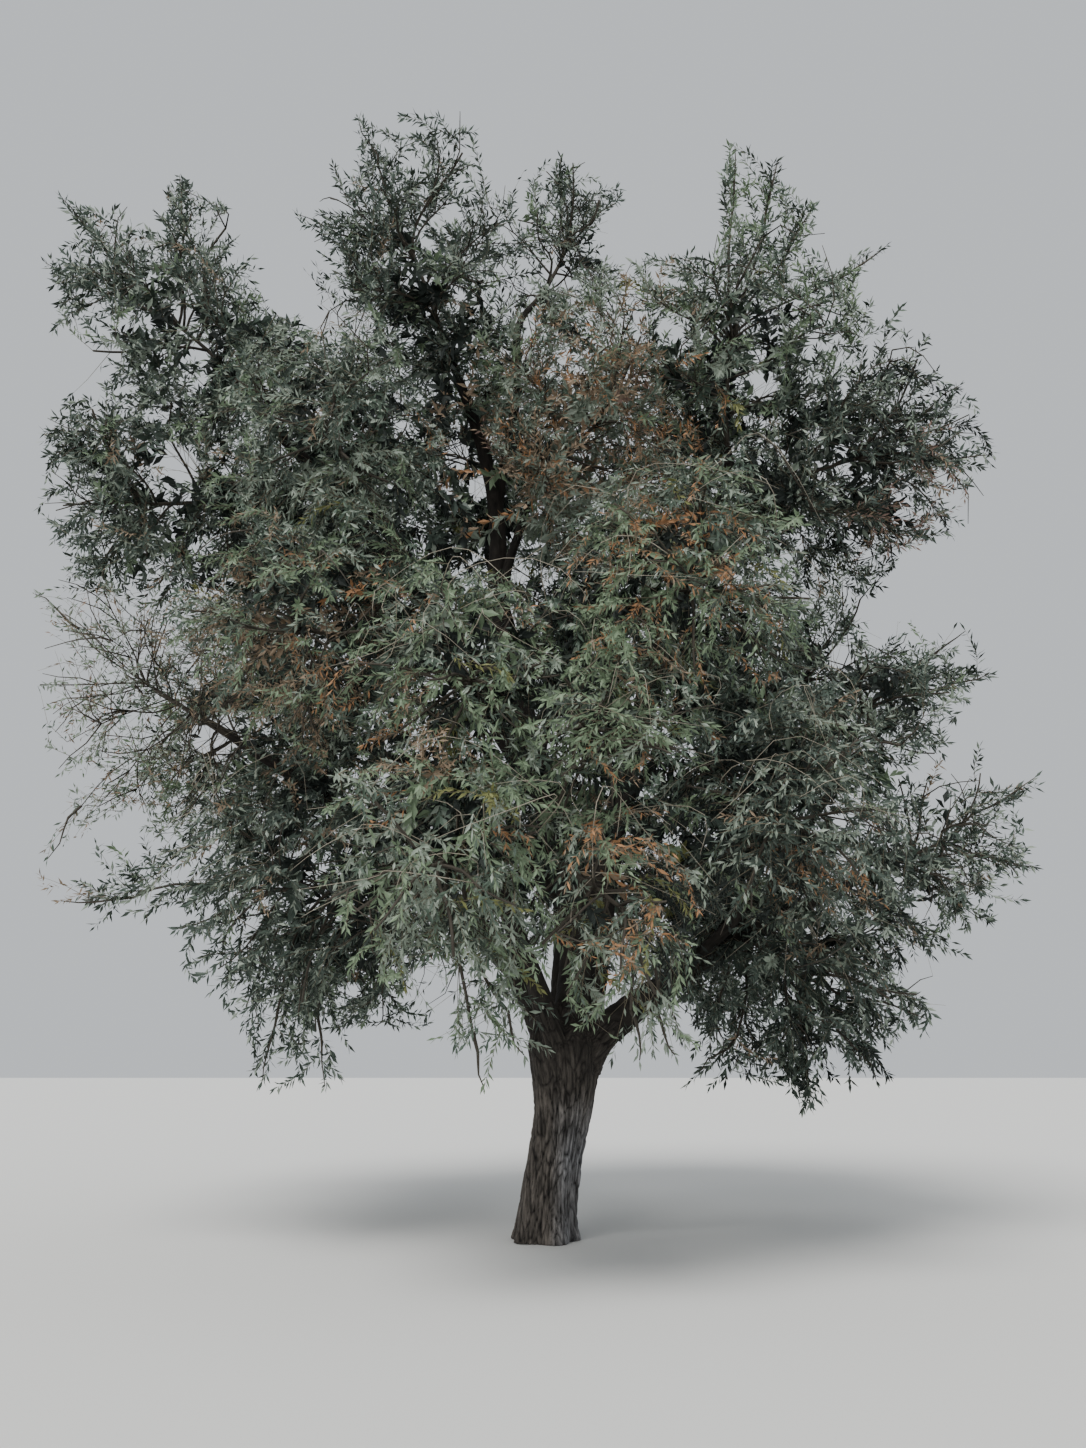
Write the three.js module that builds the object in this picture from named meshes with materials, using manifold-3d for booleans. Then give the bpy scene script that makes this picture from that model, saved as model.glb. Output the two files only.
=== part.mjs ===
// A mature olive tree: a leaning trunk with a root flare that forks low, crooked tapering boughs, and a round crown
// of separate masses of foliage. Millimetres, +Z up. The origin is the middle of the flat cut at ground level, and the
// side of the tree that a viewer sees first faces -Y.
import * as THREE from "three";
import { mergeVertices } from "three/addons/utils/BufferGeometryUtils.js";
import Module from "manifold-3d";

const wasm = await Module();
wasm.setup();

// Trunk: centre and radius at each height, from the cut at ground level to the head that the boughs leave.
const TRUNK_STATIONS = [
  { z: 0, x: -40, y: 0, r: 246 },
  { z: 90, x: -34, y: 0, r: 226 },
  { z: 260, x: -12, y: 4, r: 210 },
  { z: 600, x: 48, y: 10, r: 203 },
  { z: 900, x: 108, y: 10, r: 220 },
  { z: 1180, x: 130, y: 5, r: 262 },
  { z: 1400, x: 138, y: 0, r: 300 },
  { z: 1530, x: 140, y: 0, r: 275 },
  { z: 1620, x: 142, y: 0, r: 150 },
];
const TRUNK_SIDES = 16;
const FLUTES = { count: 5, depth: 0.07, phase: 0.6 }; // the ribs that run up an old olive trunk, as a share of its radius
const ROOT_FLARE = { depth: 0.07, height: 200 }; // how far the ribs spread into root buttresses, and how soon that ends

// Boughs
const BOUGH_SIDES = 6;
const BOUGH_STATION = 620; // length of bough to a station
const BOUGH_TIP = 27; // radius where a bough enters its mass
const TAPER = 0.8;
const COLLAR = { swell: 0.28, length: 2.2 }; // the swelling at a bough's foot, as shares of its radius there
const CROOK = 0.035; // how far a bough wanders off its route, as a share of its length
const ENTRY = 0.72; // a bough ends at this share of the mass's radius, on the side that it comes from
const JOINT_GAP = 0.3; // left between any two solids that meet
const SLIVER = 0.05; // faces thinner than this are dropped

// Foliage
const STEM = { sides: 4, stations: 3, tip: 12, past: 0.25 }; // past: how far beyond the middle of its mass a stem runs
const TWIG = { sides: 3, stations: 1, foot: 20, tip: 12, bow: 0.35, count: 3 }; // count: on all sides of each mass
const REACH = { most: 0.86, least: 0.5, step: 0.04 }; // a twig ends at this share of its mass's radius
const BLADE = { long: 0.62, wide: 0.46, thick: 14, sunk: 6, widest: 0.42, room: 0.19 }; // each stands for a spray of leaves,
// and its length and room are shares of its mass's radius
const BLADE_SHARES = [0.88, 1]; // where the blades sit along a twig
const BLADE_TRIES = 7;
const CORE = { share: 0.62, least: 0.3, sink: 0.05, shown: 0.2 }; // shown: how far blades stand out of it
const SPRAY = { filled: 0.66, least: 0.14, most: 0.4, room: 0.06, centred: 0.25 }; // how far the core's points rise, as shares of its mass
const LUMPS = 0.07; // how far a mass swells and shrinks from a plain ellipsoid
const CELL_GAP = 0.03; // the clear share of its radius that a mass keeps from the next one
const LIMB_ROOM = 20; // foliage stays this far from a limb's surface
const LEADER = { room: 300, shares: [0.55, 0.8] }; // a leader is a long leafy shoot that leaves its mass
const GOLDEN_ANGLE = Math.PI * (3 - Math.sqrt(5));

// Materials
const BARK = { color: 0x5a514a, roughness: 0.95, metalness: 0 };
const LEAF_TONES = {
  green: { color: 0x66745a, roughness: 0.6, metalness: 0 },
  silver: { color: 0x87917c, roughness: 0.6, metalness: 0 },
  dry: { color: 0x7c6650, roughness: 0.75, metalness: 0 },
};

// Each mass of foliage: its middle, its radii, the limb that its bough leaves and at what share of that limb, the
// radius of the bough's foot and the places that the bough passes, and the tips of its leaders. Droop sends its twigs
// down. The core is a share of the radii, and a thin mass has none. Every limb stands after the one that it leaves.
const MASSES = [
  { name: "left_thin", at: [-3240, -500, 4230], size: [990, 1150, 1130], from: "trunk", foot: 128, start: [40, -10, 1330],
    via: [[-420, -60, 2180], [-1350, -150, 3080]], tone: "dry", core: 0, tips: [[-4260, -700, 5000], [-3800, -820, 2760]] },
  { name: "top_left", at: [-1170, -850, 8150], size: [1010, 1200, 1230], from: "trunk", foot: 165, start: [170, 20, 1330],
    via: [[150, 40, 2700], [-340, 0, 4600], [-420, -100, 6200]],
    tips: [[-1720, -1200, 9480], [-2210, -1150, 8450]] },
  { name: "far_right", at: [3100, -250, 2950], size: [800, 1150, 820], from: "trunk", foot: 150, start: [270, -20, 1340],
    via: [[760, -40, 1740], [1380, -80, 2200]], tips: [[3930, -500, 3480], [3820, -500, 2760]] },
  { name: "upper_right", at: [1590, -1000, 7120], size: [1200, 1200, 1010], from: "trunk", foot: 138, start: [240, 120, 1330],
    via: [[540, 230, 3050], [1060, 120, 4700], [1540, -480, 5900]],
    tips: [[1620, -1500, 8850], [2010, -1400, 8790], [2320, -1300, 8400], [2920, -1250, 8020]] },
  { name: "back_centre", at: [250, 2500, 5900], size: [1300, 1100, 1250], from: "trunk", foot: 140, start: [120, 170, 1330],
    via: [[90, 620, 2500], [-60, 1500, 3900]], tips: [] },
  { name: "front_low", at: [-640, -2800, 2380], size: [760, 760, 790], from: "trunk", foot: 90, start: [90, -150, 1340],
    via: [[-260, -620, 2160], [-420, -1350, 2760]], droop: 0.4, tone: "silver", tips: [[-380, -2400, 1150], [-150, -2400, 1330]] },
  { name: "lower_left", at: [-1920, -450, 2590], size: [1040, 1300, 1300], from: "left_thin", share: 0.36, foot: 74, via: [],
    droop: 0.35, tips: [[-1630, -650, 1120], [-2100, -600, 1160], [-3650, -850, 2440]] },
  { name: "upper_left", at: [-3130, -1050, 7270], size: [1100, 1250, 1030], from: "top_left", share: 0.45, foot: 84,
    via: [[-1350, -350, 5350], [-2250, -850, 6400]],
    tips: [[-4130, -1500, 8300], [-3190, -1400, 8620], [-4180, -1500, 7640]] },
  { name: "left", at: [-3220, -950, 5700], size: [990, 1150, 890], from: "upper_left", share: 0.3, foot: 50, via: [],
    tips: [[-3980, -1400, 6080]] },
  { name: "mid_left", at: [-1640, -1950, 5730], size: [960, 900, 960], from: "upper_left", share: 0.16, foot: 48, via: [],
    tips: [] },
  { name: "left_front", at: [-1620, -2150, 4080], size: [1020, 900, 840], from: "top_left", share: 0.36, foot: 56, via: [],
    tips: [] },
  { name: "top_centre", at: [150, -250, 8790], size: [720, 950, 990], from: "top_left", share: 0.72, foot: 52, via: [],
    core: 0.45, tips: [[130, -500, 9720], [700, -500, 9280]] },
  { name: "heart", at: [340, -950, 6360], size: [1000, 1100, 1230], from: "top_left", share: 0.55, foot: 50, via: [],
    core: 0.52, tone: "dry", tips: [] },
  { name: "front_left", at: [-480, -2600, 3560], size: [840, 800, 680], from: "top_left", share: 0.28, foot: 58, via: [],
    droop: 0.15, tips: [] },
  { name: "front_centre", at: [330, -2600, 3200], size: [640, 700, 640], from: "front_left", share: 0.5, foot: 33, via: [],
    droop: 0.2, tips: [] },
  { name: "front_low_right", at: [370, -2550, 2200], size: [560, 650, 760], from: "front_low", share: 0.55, foot: 38, via: [],
    droop: 0.45, tone: "silver", tips: [[520, -2400, 1300], [730, -2350, 1330]] },
  { name: "front_right", at: [930, -2300, 4300], size: [940, 900, 880], from: "upper_right", share: 0.4, foot: 58, via: [],
    droop: 0.1, tips: [] },
  { name: "right", at: [2600, -780, 6180], size: [1130, 1240, 990], from: "upper_right", share: 0.56, foot: 66, via: [],
    tips: [[3620, -1200, 6010], [3420, -1200, 6660]] },
  { name: "right_low", at: [2580, -400, 4020], size: [890, 1150, 790], from: "far_right", share: 0.52, foot: 60, via: [],
    tips: [[3450, -650, 4690], [3580, -700, 4300]] },
  { name: "lower_right", at: [1960, -250, 1920], size: [1030, 1300, 820], from: "far_right", share: 0.6, foot: 62, via: [],
    droop: 0.3, tips: [[1930, -500, 1030], [2450, -450, 1160], [2860, -500, 1600], [1080, -900, 1230]] },
  { name: "right_front_low", at: [1500, -2000, 2830], size: [860, 850, 880], from: "far_right", share: 0.34, foot: 58, via: [],
    droop: 0.2, tips: [] },
  { name: "back_top", at: [-650, 1050, 7350], size: [1350, 1300, 1150], from: "back_centre", share: 0.55, foot: 74,
    via: [[-500, 1450, 5900]], tips: [] },
  { name: "back_upper_left", at: [-2400, 1150, 6500], size: [1200, 1350, 1150], from: "back_centre", share: 0.6, foot: 66,
    via: [], tips: [] },
  { name: "back_upper_right", at: [1550, 1050, 7350], size: [1200, 1300, 1150], from: "upper_right", share: 0.42, foot: 70,
    via: [], tips: [] },
  { name: "back_left", at: [-2950, 1300, 4350], size: [1150, 1400, 1200], from: "back_centre", share: 0.36, foot: 66, via: [],
    tips: [] },
  { name: "back_right", at: [2450, 1350, 4900], size: [1250, 1400, 1200], from: "back_centre", share: 0.34, foot: 66, via: [],
    tips: [] },
  { name: "back_low", at: [100, 2900, 3200], size: [1250, 1050, 1000], from: "back_centre", share: 0.45, foot: 54, via: [],
    droop: 0.2, tips: [] },
  { name: "back_low_left", at: [-1700, 1400, 2550], size: [1150, 1300, 1050], from: "left_thin", share: 0.2, foot: 56, via: [],
    droop: 0.25, tips: [] },
  { name: "back_low_right", at: [1840, 1450, 2490], size: [1200, 1300, 950], from: "far_right", share: 0.24, foot: 56, via: [],
    droop: 0.25, tips: [] },
];

const UP = new THREE.Vector3(0, 0, 1);
const FRONT = new THREE.Vector3(0, -1, 0);
const vector = ([x, y, z]) => new THREE.Vector3(x, y, z);

MASSES.forEach((mass, index) => {
  mass.index = index;
  mass.middle = vector(mass.at);
  mass.radii = vector(mass.size);
  mass.core = mass.core ?? CORE.share;
  mass.radius = (mass.size[0] + mass.size[1] + mass.size[2]) / 3;
});

// A stream of numbers from 0 to 1 that is the same each time for one seed.
function seeded(seed) {
  let state = seed >>> 0;
  return () => {
    state = (state + 0x6d2b79f5) >>> 0;
    let mixed = Math.imul(state ^ (state >>> 15), state | 1);
    mixed ^= mixed + Math.imul(mixed ^ (mixed >>> 7), mixed | 61);
    return ((mixed ^ (mixed >>> 14)) >>> 0) / 4294967296;
  };
}

// The point at share t of a smooth curve through some points.
function through(points, t) {
  const spans = points.length - 1;
  const i = Math.min(Math.floor(t * spans), spans - 1);
  const u = t * spans - i;
  const at = (k) => points[Math.max(0, Math.min(spans, k))];
  const weights = [
    -0.5 * u + u * u - 0.5 * u ** 3,
    1 - 2.5 * u * u + 1.5 * u ** 3,
    0.5 * u + 2 * u * u - 1.5 * u ** 3,
    -0.5 * u * u + 0.5 * u ** 3,
  ];
  return weights.reduce((sum, w, k) => sum.addScaledVector(at(i + k - 1), w), new THREE.Vector3());
}

// The point at share t of a curve that leaves its start towards a bend and then arrives at its end.
function bowed(start, bend, end, t) {
  return start.clone().multiplyScalar((1 - t) ** 2).addScaledVector(bend, 2 * t * (1 - t)).addScaledVector(end, t * t);
}

// The same route in straight stretches between its stations, as a tube with few stations runs.
function straightened(route, stations) {
  const points = Array.from({ length: stations + 1 }, (_, i) => route(i / stations));
  return (t) => {
    const i = Math.min(Math.floor(t * stations), stations - 1);
    return points[i].clone().lerp(points[i + 1], t * stations - i);
  };
}

function tangent(route, t) {
  const step = 0.01;
  return route(Math.min(1, t + step)).sub(route(Math.max(0, t - step))).normalize();
}

// A closed solid for manifold-3d from one of three.js's closed geometries.
function solidOf(geometry) {
  const bare = geometry.clone();
  bare.deleteAttribute("normal");
  bare.deleteAttribute("uv");
  const merged = mergeVertices(bare, 1e-3);
  const vertProperties = merged.attributes.position.array;
  const triVerts = new Uint32Array(merged.index.array);
  return new wasm.Manifold(new wasm.Mesh({ numProp: 3, vertProperties, triVerts }));
}

function geometryOf(solid) {
  const mesh = solid.getMesh();
  return new THREE.BufferGeometry()
    .setAttribute("position", new THREE.BufferAttribute(new Float32Array(mesh.vertProperties), 3))
    .setIndex(new THREE.BufferAttribute(new Uint32Array(mesh.triVerts), 1));
}

// Moves each vertex of a geometry to where place() puts it.
function shaped(geometry, place) {
  const position = geometry.attributes.position;
  for (let i = 0; i < position.count; i++) {
    const moved = place(new THREE.Vector3().fromBufferAttribute(position, i));
    position.setXYZ(i, moved.x, moved.y, moved.z);
  }
  return geometry;
}

// A tapering closed tube along a route. radiusAt gives its radius at a share of the route, and grow pushes all of its
// faces out.
function tube(route, radiusAt, sides, stations, grow = 0) {
  const frames = [];
  let side = null;
  for (let i = 0; i <= stations; i++) {
    const ahead = tangent(route, i / stations);
    side = side || new THREE.Vector3().crossVectors(ahead, Math.abs(ahead.z) < 0.8 ? UP : new THREE.Vector3(0, 1, 0));
    side = side.clone().addScaledVector(ahead, -side.dot(ahead)).normalize();
    const at = route(i / stations).addScaledVector(ahead, i === 0 ? -grow : i === stations ? grow : 0);
    frames.push({ at, side, other: new THREE.Vector3().crossVectors(ahead, side) });
  }
  const cylinder = new THREE.CylinderGeometry(1, 1, 1, sides, stations);
  const place = (v) => {
    const share = 0.5 - v.y; // three.js's cylinder runs up its Y axis, and the route starts at its top
    const frame = frames[Math.round(share * stations)];
    const radius = radiusAt(share) + grow;
    return frame.at.clone().addScaledVector(frame.side, v.x * radius).addScaledVector(frame.other, v.z * radius);
  };
  return solidOf(shaped(cylinder, place));
}

const largest = (solid) => solid.decompose().reduce((a, b) => (b.volume() > a.volume() ? b : a));

function boxesMeet(a, b) {
  const [p, q] = [a.boundingBox(), b.boundingBox()];
  return [0, 1, 2].every((k) => p.min[k] < q.max[k] && q.min[k] < p.max[k]);
}

// What is left of a solid when its neighbours are cut away, without loose scraps or slivers.
function clearOf(solid, neighbours) {
  const near = neighbours.filter((n) => boxesMeet(solid, n));
  return largest(largest(near.reduce((left, n) => left.subtract(n), solid)).simplify(SLIVER));
}

// Trunk

function trunkSolid(grow) {
  const top = TRUNK_STATIONS.length - 1;
  const cylinder = new THREE.CylinderGeometry(1, 1, 1, TRUNK_SIDES, top);
  const place = (v) => {
    const station = TRUNK_STATIONS[Math.round((0.5 + v.y) * top)];
    const rib = Math.cos(FLUTES.count * Math.atan2(v.z, v.x) + FLUTES.phase);
    const spread = FLUTES.depth + ROOT_FLARE.depth * Math.exp(-station.z / ROOT_FLARE.height);
    const radius = station.r * (1 + spread * rib) + grow;
    return new THREE.Vector3(station.x + v.x * radius, station.y - v.z * radius, station.z + (station.z ? grow : 0));
  };
  return solidOf(shaped(cylinder, place));
}

// Where a mass's space is

// How deep a point is in a mass: 0 at its middle, 1 at its lumpy surface.
function depthIn(mass, point) {
  const d = point.clone().sub(mass.middle).divide(mass.radii);
  const length = d.length();
  if (length < 1e-6) return 0;
  const turn = Math.atan2(d.y, d.x);
  const lift = Math.asin(Math.max(-1, Math.min(1, d.z / length)));
  const phase = mass.index * 1.7;
  const lump = Math.sin(3 * turn + phase) * Math.cos(2 * lift + phase) + 0.6 * Math.sin(4 * lift - phase);
  return length / (1 + LUMPS * lump);
}

function nearLeader(mass, point) {
  return mass.tips.some((tip) => {
    const end = vector(tip);
    const last = end.clone().add(mass.middle.clone().sub(end).setLength(LEADER.room));
    const nearest = new THREE.Line3(mass.middle, last).closestPointToPoint(point, true, new THREE.Vector3());
    return nearest.distanceTo(point) < LEADER.room;
  });
}

// Whether a point is in a mass's own space. Where two masses overlap, the one whose middle is nearer has the point.
function inSpace(mass, point) {
  const own = depthIn(mass, point);
  if (own > 1 && !nearLeader(mass, point)) return false;
  return MASSES.every((m) => m === mass || depthIn(m, point) > Math.min(own, 1) + CELL_GAP);
}

// The point of a mass that lies in a direction from its middle, at a share of its radii.
const pointIn = (mass, direction, share) => direction.clone().multiply(mass.radii).multiplyScalar(share).add(mass.middle);

// Boughs

const limbs = new Map(); // by the name of the mass at the limb's tip

function makeBough(mass) {
  const parent = limbs.get(mass.from);
  const start = mass.start ? vector(mass.start) : parent.route(mass.share);
  // Without places to pass, it leaves along its parent for a while and then turns to its mass.
  const away = mass.start ? UP : tangent(parent.route, mass.share);
  const bend = start.clone().lerp(mass.middle, 0.3).addScaledVector(away, 0.32 * start.distanceTo(mass.middle));
  const via = mass.via.map(vector);
  const last = via[via.length - 1] || bend;
  const surface = mass.middle.clone().lerp(last, 1 / depthIn(mass, last));
  let share = ENTRY;
  let entry = mass.middle.clone().lerp(surface, share);
  while (share > 0.3 && !inSpace(mass, entry)) {
    share -= 0.04;
    entry = mass.middle.clone().lerp(surface, share);
  }
  const points = [start, ...via, entry];
  const length = points.slice(1).reduce((sum, p, i) => sum + p.distanceTo(points[i]), 0);
  const main = (t) => (via.length ? through(points, t) : bowed(start, bend, entry, t));
  const random = seeded(100 + mass.index);
  const [turnA, turnB] = [random() * 2 * Math.PI, random() * 2 * Math.PI];
  const route = (t) => {
    const wander = CROOK * Math.min(length, 2500) * Math.sin(Math.PI * t);
    const sway = new THREE.Vector3(Math.sin(5.2 * t + turnA), Math.cos(6.1 * t + turnB), 0);
    return main(t).addScaledVector(sway, wander);
  };
  const radiusAt = (t) => {
    const collar = 1 + COLLAR.swell * Math.exp((-t * length) / (COLLAR.length * mass.foot));
    return BOUGH_TIP + (mass.foot * collar - BOUGH_TIP) * (1 - t) ** TAPER;
  };
  const stations = Math.max(3, Math.round(length / BOUGH_STATION));
  const plain = tube(route, radiusAt, BOUGH_SIDES, stations);
  const grown = tube(route, radiusAt, BOUGH_SIDES, stations, JOINT_GAP);
  const beads = Array.from({ length: 61 }, (_, i) => ({ at: route(i / 60), radius: radiusAt(i / 60) }));
  return { route, plain, grown, beads };
}

// Foliage

function distanceToLimbs(point) {
  let least = Infinity;
  for (const limb of limbs.values())
    for (const bead of limb.beads) least = Math.min(least, point.distanceTo(bead.at) - bead.radius);
  return least;
}

const fits = (mass, points) => points.every((p) => inSpace(mass, p) && distanceToLimbs(p) > LIMB_ROOM);

// Directions spread evenly on all sides, turned by an angle.
function directions(count, turn) {
  return Array.from({ length: count }, (_, k) => {
    const z = 1 - (2 * k + 1) / count;
    const ring = Math.sqrt(1 - z * z);
    return new THREE.Vector3(ring * Math.cos(k * GOLDEN_ANGLE + turn), ring * Math.sin(k * GOLDEN_ANGLE + turn), z);
  });
}

// The furthest share of its radii that a mass reaches in a direction without leaving its space, or 0.
function reachIn(mass, direction) {
  for (let share = REACH.most; share >= REACH.least; share -= REACH.step)
    if (fits(mass, [pointIn(mass, direction, share)])) return share;
  return 0;
}

// The stem goes on from the bough's tip, past the middle of the mass.
function stemRoute(mass) {
  const limb = limbs.get(mass.name);
  const ahead = tangent(limb.route, 1);
  const start = limb.route(1).addScaledVector(ahead, JOINT_GAP);
  const end = mass.middle.clone().addScaledVector(mass.middle.clone().sub(start), STEM.past);
  const bend = start.clone().addScaledVector(ahead, 0.5 * start.distanceTo(mass.middle));
  return (t) => bowed(start, bend, end, t);
}

// A twig leaves the stem below its target, bows up and out, and comes down to it.
function twigRoute(mass, stem, target) {
  const axis = stem(1).sub(stem(0));
  const along = target.clone().sub(stem(0)).dot(axis) / axis.lengthSq();
  const start = stem(Math.max(0.15, Math.min(0.92, 0.75 * along)));
  const bend = start.clone().lerp(target, 0.45).addScaledVector(axis, 0.12);
  bend.z += (mass.droop || 0) * start.distanceTo(target) * TWIG.bow;
  return (t) => bowed(start, bend, target, t);
}

// A spray of leaves as one blade: a flat three-sided bipyramid with a keel, its root sunk into the twig.
function blade(root, tip, across) {
  const ahead = tip.clone().sub(root);
  const long = ahead.length();
  ahead.normalize();
  const keel = new THREE.Vector3().crossVectors(ahead, across).normalize();
  const place = (v) => {
    const share = Math.abs(v.y) < 0.5 ? BLADE.widest : (v.y + 1) / 2;
    return root
      .clone()
      .addScaledVector(ahead, share * (long + BLADE.sunk) - BLADE.sunk)
      .addScaledVector(across, (v.z * BLADE.wide * long) / Math.sqrt(3))
      .addScaledVector(keel, (v.x * BLADE.thick) / 1.5);
  };
  const geometry = shaped(new THREE.SphereGeometry(1, 3, 2), place);
  const sides = [-1, 1].map((z) => place(new THREE.Vector3(0.5, 0, (z * Math.sqrt(3)) / 2)));
  const edges = sides.map((p) => p.clone().lerp(tip, 0.5));
  const spine = [0.4, 0.7, 1].map((share) => root.clone().lerp(tip, share));
  return { geometry, outline: [tip, ...sides, ...edges], spine };
}

// The blades along a twig, in turn on its sides. Each is tried at several angles and shorter each time until it fits
// and stands apart from the ones before it.
function bladesOn(mass, route, shares, random, taken) {
  const made = [];
  const first = random() * 2 * Math.PI;
  shares.forEach((share, k) => {
    const forward = tangent(route, share);
    const level = new THREE.Vector3().crossVectors(forward, UP).normalize();
    for (let attempt = 0; attempt < BLADE_TRIES; attempt++) {
      const long = BLADE.long * mass.radius * (1.1 - 0.09 * attempt) * (0.9 + 0.2 * random());
      const lean = share === 1 ? 0.2 + 0.15 * attempt : 0.75 + 0.5 * random();
      const side = level.clone().applyAxisAngle(forward, first + k * 2.4 + attempt * 1.9);
      const ahead = forward.clone().multiplyScalar(Math.cos(lean)).addScaledVector(side, Math.sin(lean));
      ahead.z -= (mass.droop || 0) * 0.8;
      const root = route(share);
      const tip = root.clone().add(ahead.setLength(long));
      const across = new THREE.Vector3().crossVectors(ahead, UP).normalize();
      across.applyAxisAngle(ahead.normalize(), (random() - 0.5) * 2.4);
      const one = blade(root, tip, across);
      if (depthIn(mass, tip) < mass.core + CORE.shown) continue;
      if (one.spine.some((p) => taken.some((q) => p.distanceTo(q) < BLADE.room * mass.radius))) continue;
      if (!fits(mass, one.outline)) continue;
      taken.push(...one.spine);
      made.push(solidOf(one.geometry));
      break;
    }
  });
  return made;
}

// The dense inside of a mass: a ball, each face of which is drawn out into a pointed spray somewhere over it.
function core(mass, random) {
  const turn = random() * 2 * Math.PI;
  const ball = shaped(new THREE.IcosahedronGeometry(1, 1), (v) => {
    const direction = v.normalize().applyAxisAngle(UP, turn);
    let share = mass.core / depthIn(mass, pointIn(mass, direction, 1));
    while (share > CORE.least && !inSpace(mass, pointIn(mass, direction, share + CORE.sink))) share -= 0.03;
    return pointIn(mass, direction, share);
  });
  const faces = [];
  for (let i = 0; i < ball.attributes.position.count; i += 3) {
    const corners = [0, 1, 2].map((k) => new THREE.Vector3().fromBufferAttribute(ball.attributes.position, i + k));
    if (random() > SPRAY.filled) {
      faces.push(...corners);
      continue;
    }
    const weights = corners.map(() => SPRAY.centred + random());
    const sum = weights[0] + weights[1] + weights[2];
    const foot = corners.reduce((at, p, k) => at.addScaledVector(p, weights[k] / sum), new THREE.Vector3());
    const point = (rise) => foot.clone().sub(mass.middle).multiplyScalar(rise).add(mass.middle);
    let rise = 1 + (SPRAY.least + (SPRAY.most - SPRAY.least) * random()) / mass.core;
    while (rise > 1.05 && !fits(mass, [point(rise), point(rise + SPRAY.room)])) rise -= 0.05;
    corners.forEach((p, k) => faces.push(p, corners[(k + 1) % 3], point(rise)));
  }
  return new THREE.BufferGeometry().setFromPoints(faces);
}

function foliage(mass) {
  const random = seeded(500 + mass.index);
  const stem = stemRoute(mass);
  const taper = (foot, tip) => (t) => foot + (tip - foot) * t;
  const taken = [];
  const parts = [tube(stem, taper(BOUGH_TIP, STEM.tip), STEM.sides, STEM.stations)];
  const addTwig = (target, shares, stations) => {
    const route = straightened(twigRoute(mass, stem, target), stations);
    if (!fits(mass, [0.35, 0.5, 0.65, 0.8, 1].map(route))) return;
    parts.push(tube(route, taper(TWIG.foot, TWIG.tip), TWIG.sides, stations));
    parts.push(...bladesOn(mass, route, shares, random, taken));
  };
  for (const direction of directions(mass.core ? TWIG.count : 4 * TWIG.count, random() * 2 * Math.PI)) {
    direction.z -= mass.droop || 0;
    direction.normalize();
    const share = reachIn(mass, direction);
    if (share) addTwig(pointIn(mass, direction, share), BLADE_SHARES, mass.core ? TWIG.stations : TWIG.stations + 1);
  }
  for (const tip of mass.tips) {
    const end = vector(tip);
    const target = end.clone().add(mass.middle.clone().sub(end).setLength(BLADE.long * mass.radius * 0.7));
    const before = parts.length;
    addTwig(target, LEADER.shares, TWIG.stations);
    const across = new THREE.Vector3().crossVectors(end.clone().sub(target), FRONT).normalize();
    if (parts.length > before) parts.push(solidOf(blade(target, end, across).geometry));
  }
  let whole = wasm.Manifold.union(parts);
  if (mass.core) whole = whole.add(solidOf(core(mass, random)));
  return clearOf(largest(whole).simplify(4), [...limbs.values()].map((limb) => limb.grown));
}

// The tree

// Rounding to a mesh's 32-bit numbers can part a scrap from its solid, so the largest body is taken once more.
function nodeOf(name, solid, material) {
  const mesh = new THREE.Mesh(geometryOf(largest(solidOf(geometryOf(solid)))), material);
  mesh.name = name;
  return mesh;
}

const tree = new THREE.Group();
const bark = new THREE.MeshStandardMaterial(BARK);
const leaves = Object.fromEntries(Object.entries(LEAF_TONES).map(([k, v]) => [k, new THREE.MeshStandardMaterial(v)]));

tree.add(nodeOf("trunk", trunkSolid(0), bark));
const cleared = [trunkSolid(JOINT_GAP)];
for (const mass of MASSES) {
  const limb = makeBough(mass);
  limbs.set(mass.name, limb);
  tree.add(nodeOf("bough_" + mass.name, clearOf(limb.plain, cleared), bark));
  cleared.push(limb.grown);
}
for (const mass of MASSES) tree.add(nodeOf("foliage_" + mass.name, foliage(mass), leaves[mass.tone || "green"]));

export default tree;
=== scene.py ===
"""A mature olive tree in a pale studio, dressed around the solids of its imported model.

Its limbs and first twigs follow the same rule as the solids do, and the rule is carried on here to
finer twigs, leafy shoots and single leaves. Metres, +Z up, and the side that the picture shows faces -Y.
"""

import math

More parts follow.
